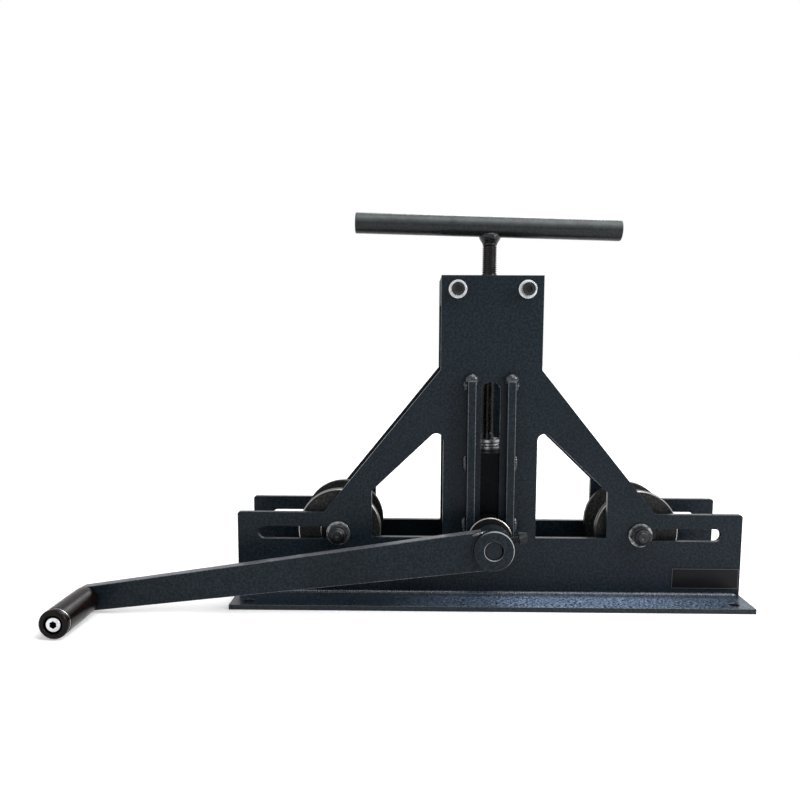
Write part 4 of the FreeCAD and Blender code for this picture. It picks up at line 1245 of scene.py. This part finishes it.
@dataclass
class CrankDrive:
    """Drive shaft and roller, washers, hub, arm and the grip's fittings."""

    dresser: Dresser
    arm_front: float = 95.8 * MM
    hub_radius: float = 19.0 * MM
    crank_screw_reach: float = 27.5 * MM
    crank_screw_y: float = -65.4 * MM
    crank_screw: CapScrew = CapScrew(19.8 * MM)
    grip_screw_y: float = -155.0 * MM
    grip_screw: CapScrew = CapScrew(84.0 * MM)

    def build(self) -> None:
        """Builds every piece of the drive."""
        soften, dress = self.dresser.soften, self.dresser.dress_nodes
        # The arm's coat paints a highlight along its upper side, and painted highlights on its rounded
        # edges.
        soften(Body.DRIVE, TopLitCoat(), 0.7 * MM, "crank_arm", edges=EDGE_HIGHLIGHT_PAINT)
        # The hub's front carries painted highlight arcs.
        soften(Body.DRIVE, HubCoat(), 0.5 * MM, "crank_hub")
        self.arm_weld()
        soften(Body.DRIVE, CrankShaftSteel(), 0.3 * MM, "drive_shaft")
        dress(TurnedSteel(name="shaft_steel", centre=SHAFT), "roller_key",
              "shaft_bearing_inner_rings")
        dress(TurnedSteel(name="drive_roller_steel", centre=SHAFT, bright=(0.20, 0.20, 0.205),
                          dull=(0.06, 0.06, 0.062)), "drive_roller")
        washer = RimmedSteel("shaft_washer_steel", SHAFT, rim_radius=22.25 * MM,
                             bright_band=0.9 * MM, chamfer_from=57.3 * MM,
                             face=(0.0045, 0.0045, 0.0050), scale_spots=(0.014, 0.014, 0.014),
                             rim=(0.42, 0.41, 0.40), slot=Slot.BLACK)
        soften(Body.DRIVE, washer, 0.7 * MM, "front_shaft_washer", "rear_shaft_washer")
        soften(Body.DRIVE, BlackOxide(), 0.3 * MM, "rear_shaft_collar", "grip_lock_nut")
        dress(BlackOxide(), "rear_collar_screw")
        dress(ZincPlate(), "grip_tube")
        self.screws()

    def screws(self) -> None:
        """The crank's clamping screw and the bright bolt through the grip."""
        out = (math.cos(CRANK_REST), 0.0, math.sin(CRANK_REST))
        clamp = Workshop.copies(self.crank_screw.shape("clamp_screw"), "knurled_crank_screw",
                                [seated(swung(self.crank_screw_reach, self.crank_screw_y), out)])
        self.dresser.seat(clamp, Body.DRIVE, HEAD_OXIDE, "crank_set_screw", edges=SOCKET_SHADE)
        head = swung(-CRANK_RADIUS, self.grip_screw_y)
        bolt = Workshop.copies(self.grip_screw.shape("grip_screw"), "bright_grip_bolt",
                               [seated(head, (0, -1, 0))])
        self.dresser.seat(bolt, Body.DRIVE, ZincPlate(), "grip_bolt", edges=SOCKET_SHADE)

    def arm_weld(self) -> None:
        """The weld round the hub on the arm's front face, with its heavy start at the top."""
        radius = self.hub_radius + 0.9 * MM
        turns = [math.radians(100 + 8 * i) for i in range(21)]
        arc = [swung(radius * math.cos(a), -self.arm_front - 0.3 * MM, radius * math.sin(a))
               for a in turns]
        bead = Workshop.bead("hub_bead", arc, 1.4 * MM, pitch=0.0030, depth=0.14)
        weld = Workshop.melted("crank_hub_weld", [bead], voxel=0.00045)
        self.dresser.seat(weld, Body.DRIVE, PowderCoat())
        spots = ((-16.8, 16.6, 2.2), (-13.8, 17.2, 3.3), (-10.2, 18.0, 2.8), (-6.6, 18.8, 2.0))
        lumps = [Workshop.ball(f"hub_lump_{i}", swung(x * MM, -self.arm_front - 0.1 * MM, z * MM),
                               (r * MM, 0.8 * r * MM, 0.6 * r * MM))
                 for i, (x, z, r) in enumerate(spots)]
        start = Workshop.melted("crank_hub_weld_start", lumps, voxel=0.0004, rounds=1)
        # The bright flecks on the weld start are painted glints.
        coat = PowderCoat(name="charcoal_coat_on_weld_start", gloss=0.10, matt=0.24, shine=0.9,
                          dust_and_glint=(0.30, 0.31, 0.32), dust_and_glint_share=0.9, peel_depth=0.0003)
        self.dresser.seat(start, Body.DRIVE, coat)


@dataclass
class HandGrip:
    """The turning grip, spun as one slim barrel with its bright groove."""

    dresser: Dresser
    inner: float = 96.8 * MM
    outer: float = 163.8 * MM
    size: float = 26.5 * MM
    bore: float = 12.1 * MM
    recess: float = 17.0 * MM
    recess_depth: float = 9.0 * MM
    groove_inset: float = 6.0 * MM
    groove_width: float = 1.6 * MM
    groove_depth: float = 1.1 * MM
    rounding: float = 2.6 * MM

    def build(self) -> None:
        """Builds the grip and the thin ring in its groove."""
        centre = swung(-CRANK_RADIUS, 0.0)
        r, bore, recess, curl = self.size / 2, self.bore / 2, self.recess / 2, self.rounding
        inner, outer, bottom = self.inner, self.outer, self.size / 2 - self.groove_depth
        g0 = outer - self.groove_inset
        g1 = g0 - self.groove_width
        round_end = [(r - curl + curl * math.cos(a), outer - curl + curl * math.sin(a))
                     for a in [math.pi / 12 * i for i in range(7)]]
        profile = [(bore, inner), (r - 2.2 * MM, inner), (r - 0.7 * MM, inner + 0.7 * MM),
                   (r - 0.15 * MM, inner + 2.2 * MM), (r - 0.25 * MM, inner + 9 * MM),
                   (r, inner + 26 * MM), (r, g1 - 8 * MM), (r - 0.1 * MM, g1 - 0.25 * MM),
                   (r - 0.35 * MM, g1), (bottom, g1), (bottom, g0),
                   (r - 0.35 * MM, g0), (r - 0.1 * MM, g0 + 0.25 * MM), *round_end,
                   (recess + 0.5 * MM, outer), (recess, outer - 0.5 * MM),
                   (recess, outer - self.recess_depth), (bore, outer - self.recess_depth)]
        grip = Workshop.spun("crank_grip_barrel", profile, centre, (0, -1, 0), 128)
        self.dresser.seat(grip, Body.GRIP, GlossGrip(), "crank_grip")
        low, high = g1 + 0.05 * MM, g0 - 0.05 * MM
        ring = Workshop.spun("grip_groove_ring", [
            (bottom - 0.05 * MM, low), (r - 0.55 * MM, low), (r - 0.35 * MM, (g0 + g1) / 2),
            (r - 0.55 * MM, high), (bottom - 0.05 * MM, high)], centre, (0, -1, 0), 128)
        self.dresser.seat(ring, Body.GRIP, ZincPlate())


@dataclass
class OuterRoller:
    """One outer roller with its clamped axle."""

    dresser: Dresser
    side: Side
    rest_x: float = 152.0 * MM
    axle_z: float = 67.0 * MM

    def build(self) -> None:
        """Builds the axle's and the roller's pieces."""
        name = self.side.name.lower()
        axle, roller = Body(name + "_axle"), Body(name + "_roller")
        soften, dress = self.dresser.soften, self.dresser.dress_nodes
        centre = (self.side.value * self.rest_x, 0.0, self.axle_z)
        steel = TurnedSteel(name=f"{name}_roller_steel", centre=centre)
        dress(steel, f"{name}_axle_sleeve")
        dress(BlackOxide(name="spacer_steel"), f"{name}_roller_spacers")
        soften(roller, steel, 0.4 * MM, f"{name}_roller_hub")
        dress(BearingBronze(), f"{name}_roller_bushes")
        soften(roller, RimmedSteel(f"{name}_disc_steel", centre), 0.35 * MM,
               f"{name}_roller_discs")
        weathered = ZincPlate(name="weathered_zinc_plate", bloom=(0.050, 0.054, 0.056),
                              bright=(0.30, 0.31, 0.32))
        soften(axle, weathered, 0.4 * MM, f"{name}_axle_washers")
        dress(HEAD_OXIDE, f"{name}_axle_stud")
        nut = TurnedSteel(name="nut_steel", bright=(0.040, 0.041, 0.044),
                          dull=(0.012, 0.012, 0.013), slot=Slot.BLACK)
        soften(axle, nut, 0.25 * MM, f"{name}_axle_nuts")


@dataclass
class Studio:
    """Pale floor, plain soft light and the camera at the photograph's angle."""

    place: Point = (-0.07158, -0.80116, 0.26093)
    yaw: float = math.radians(-0.76)
    pitch: float = math.radians(6.57)
    roll: float = math.radians(0.26)
    focal_px: float = 768.28
    centre_px: tuple[float, float] = (408.37, 428.6)
    frame_px: float = 800.0
    sensor_mm: float = 36.0
    floor_level: float = -0.0002

    def build(self) -> None:
        """Sets camera, light, floor and background."""
        self.camera()
        self.floor()
        self.world()
        self.lamp("key_softbox", (1.7, -1.0, 1.15), 0.15, 0.9, 38.0)
        self.lamp("fill_softbox", (-1.3, -1.4, 0.8), 0.12, 1.4, 5.0)
        self.lamp("top_softbox", (0.35, -0.45, 1.6), 0.2, 1.2, 17.0)
        self.lamp("rear_softbox", (0.4, 1.6, 1.5), 0.1, 1.2, 24.0)

    def camera(self) -> None:
        """The camera, from the measured place, turn and focal length."""
        forward = Vector((math.sin(self.yaw) * math.cos(self.pitch),
                          math.cos(self.yaw) * math.cos(self.pitch), -math.sin(self.pitch)))
        level_right = Vector((math.cos(self.yaw), -math.sin(self.yaw), 0.0))
        level_up = level_right.cross(forward)
        right = math.cos(self.roll) * level_right + math.sin(self.roll) * level_up
        up = -math.sin(self.roll) * level_right + math.cos(self.roll) * level_up
        data = bpy.data.cameras.new("photo_camera")
        data.sensor_width = self.sensor_mm
        data.sensor_fit = "HORIZONTAL"
        data.lens = self.focal_px / self.frame_px * self.sensor_mm
        data.shift_x = (self.frame_px / 2 - self.centre_px[0]) / self.frame_px
        data.shift_y = (self.centre_px[1] - self.frame_px / 2) / self.frame_px
        data.clip_start, data.clip_end = 0.01, 50.0
        camera = Workshop.placed("photo_camera", data)
        turn = Matrix((right, up, -forward)).transposed().to_4x4()
        camera.matrix_world = Matrix.Translation(self.place) @ turn
        bpy.context.scene.camera = camera

    def floor(self) -> None:
        """A wide pale floor that keeps the shadow near the object and fades to white."""
        Workshop.clear()
        bpy.ops.mesh.primitive_plane_add(size=14.0, location=(0, 0, self.floor_level))
        floor = Workshop.named("studio_floor")
        sheet = Sheet("studio_floor_paper")
        far = sheet.span(sheet.radius(ORIGIN, "Z"), 0.3, 2.0, 0.30, 1.0)
        paper = sheet.finished(Base_Color=(0.86, 0.86, 0.86), Roughness=0.9,
                               Specular_IOR_Level=0.1, Emission_Color=(1.0, 1.0, 1.0),
                               Emission_Strength=sheet.both(sheet.seen_rays(), far))
        floor.data.materials.append(paper)

    @staticmethod
    def world() -> None:
        """White to the eye and in reflections, and a plain soft level as light."""
        world = bpy.data.worlds.new("studio_world")
        world.use_nodes = True
        bpy.context.scene.world = world
        wiring = Wiring(world.node_tree)
        background = world.node_tree.nodes["Background"]
        wiring.feed(background.inputs["Color"], (1.0, 1.0, 1.0))
        wiring.feed(background.inputs["Strength"],
                    wiring.span(wiring.seen_rays(), 0.0, 1.0, 0.30, 1.0))

    @staticmethod
    def lamp(name: str, place: Point, aim: float, size: float, power: float) -> None:
        """One square softbox.

        Args:
            name: name of the lamp.
            place: where it stands.
            aim: height over the middle of the base that it faces.
            size: its side.
            power: its power in watts.
        """
        data = bpy.data.lights.new(name, "AREA")
        data.shape = "SQUARE"
        data.size = size
        data.energy = power
        lamp = Workshop.placed(name, data)
        lamp.location = place
        line = Vector((0.0, 0.0, aim)) - Vector(place)
        lamp.rotation_euler = line.to_track_quat("-Z", "Y").to_euler()


def main() -> None:
    """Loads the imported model, dresses it piece by piece and sets the studio."""
    logging.basicConfig(level=logging.INFO, format="%(name)s: %(message)s")
    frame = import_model()
    bpy.context.scene.view_settings.view_transform = "Standard"
    dresser = Dresser(frame["nodes"])
    sections = [WeldedFrame(dresser), PressYoke(dresser), PressScrew(dresser), CrankDrive(dresser),
                HandGrip(dresser), OuterRoller(dresser, Side.LEFT), OuterRoller(dresser, Side.RIGHT),
                Studio()]
    for section in sections:
        section.build()
        LOG.info("built %s", type(section).__name__)


if __name__ == "__main__":
    main()
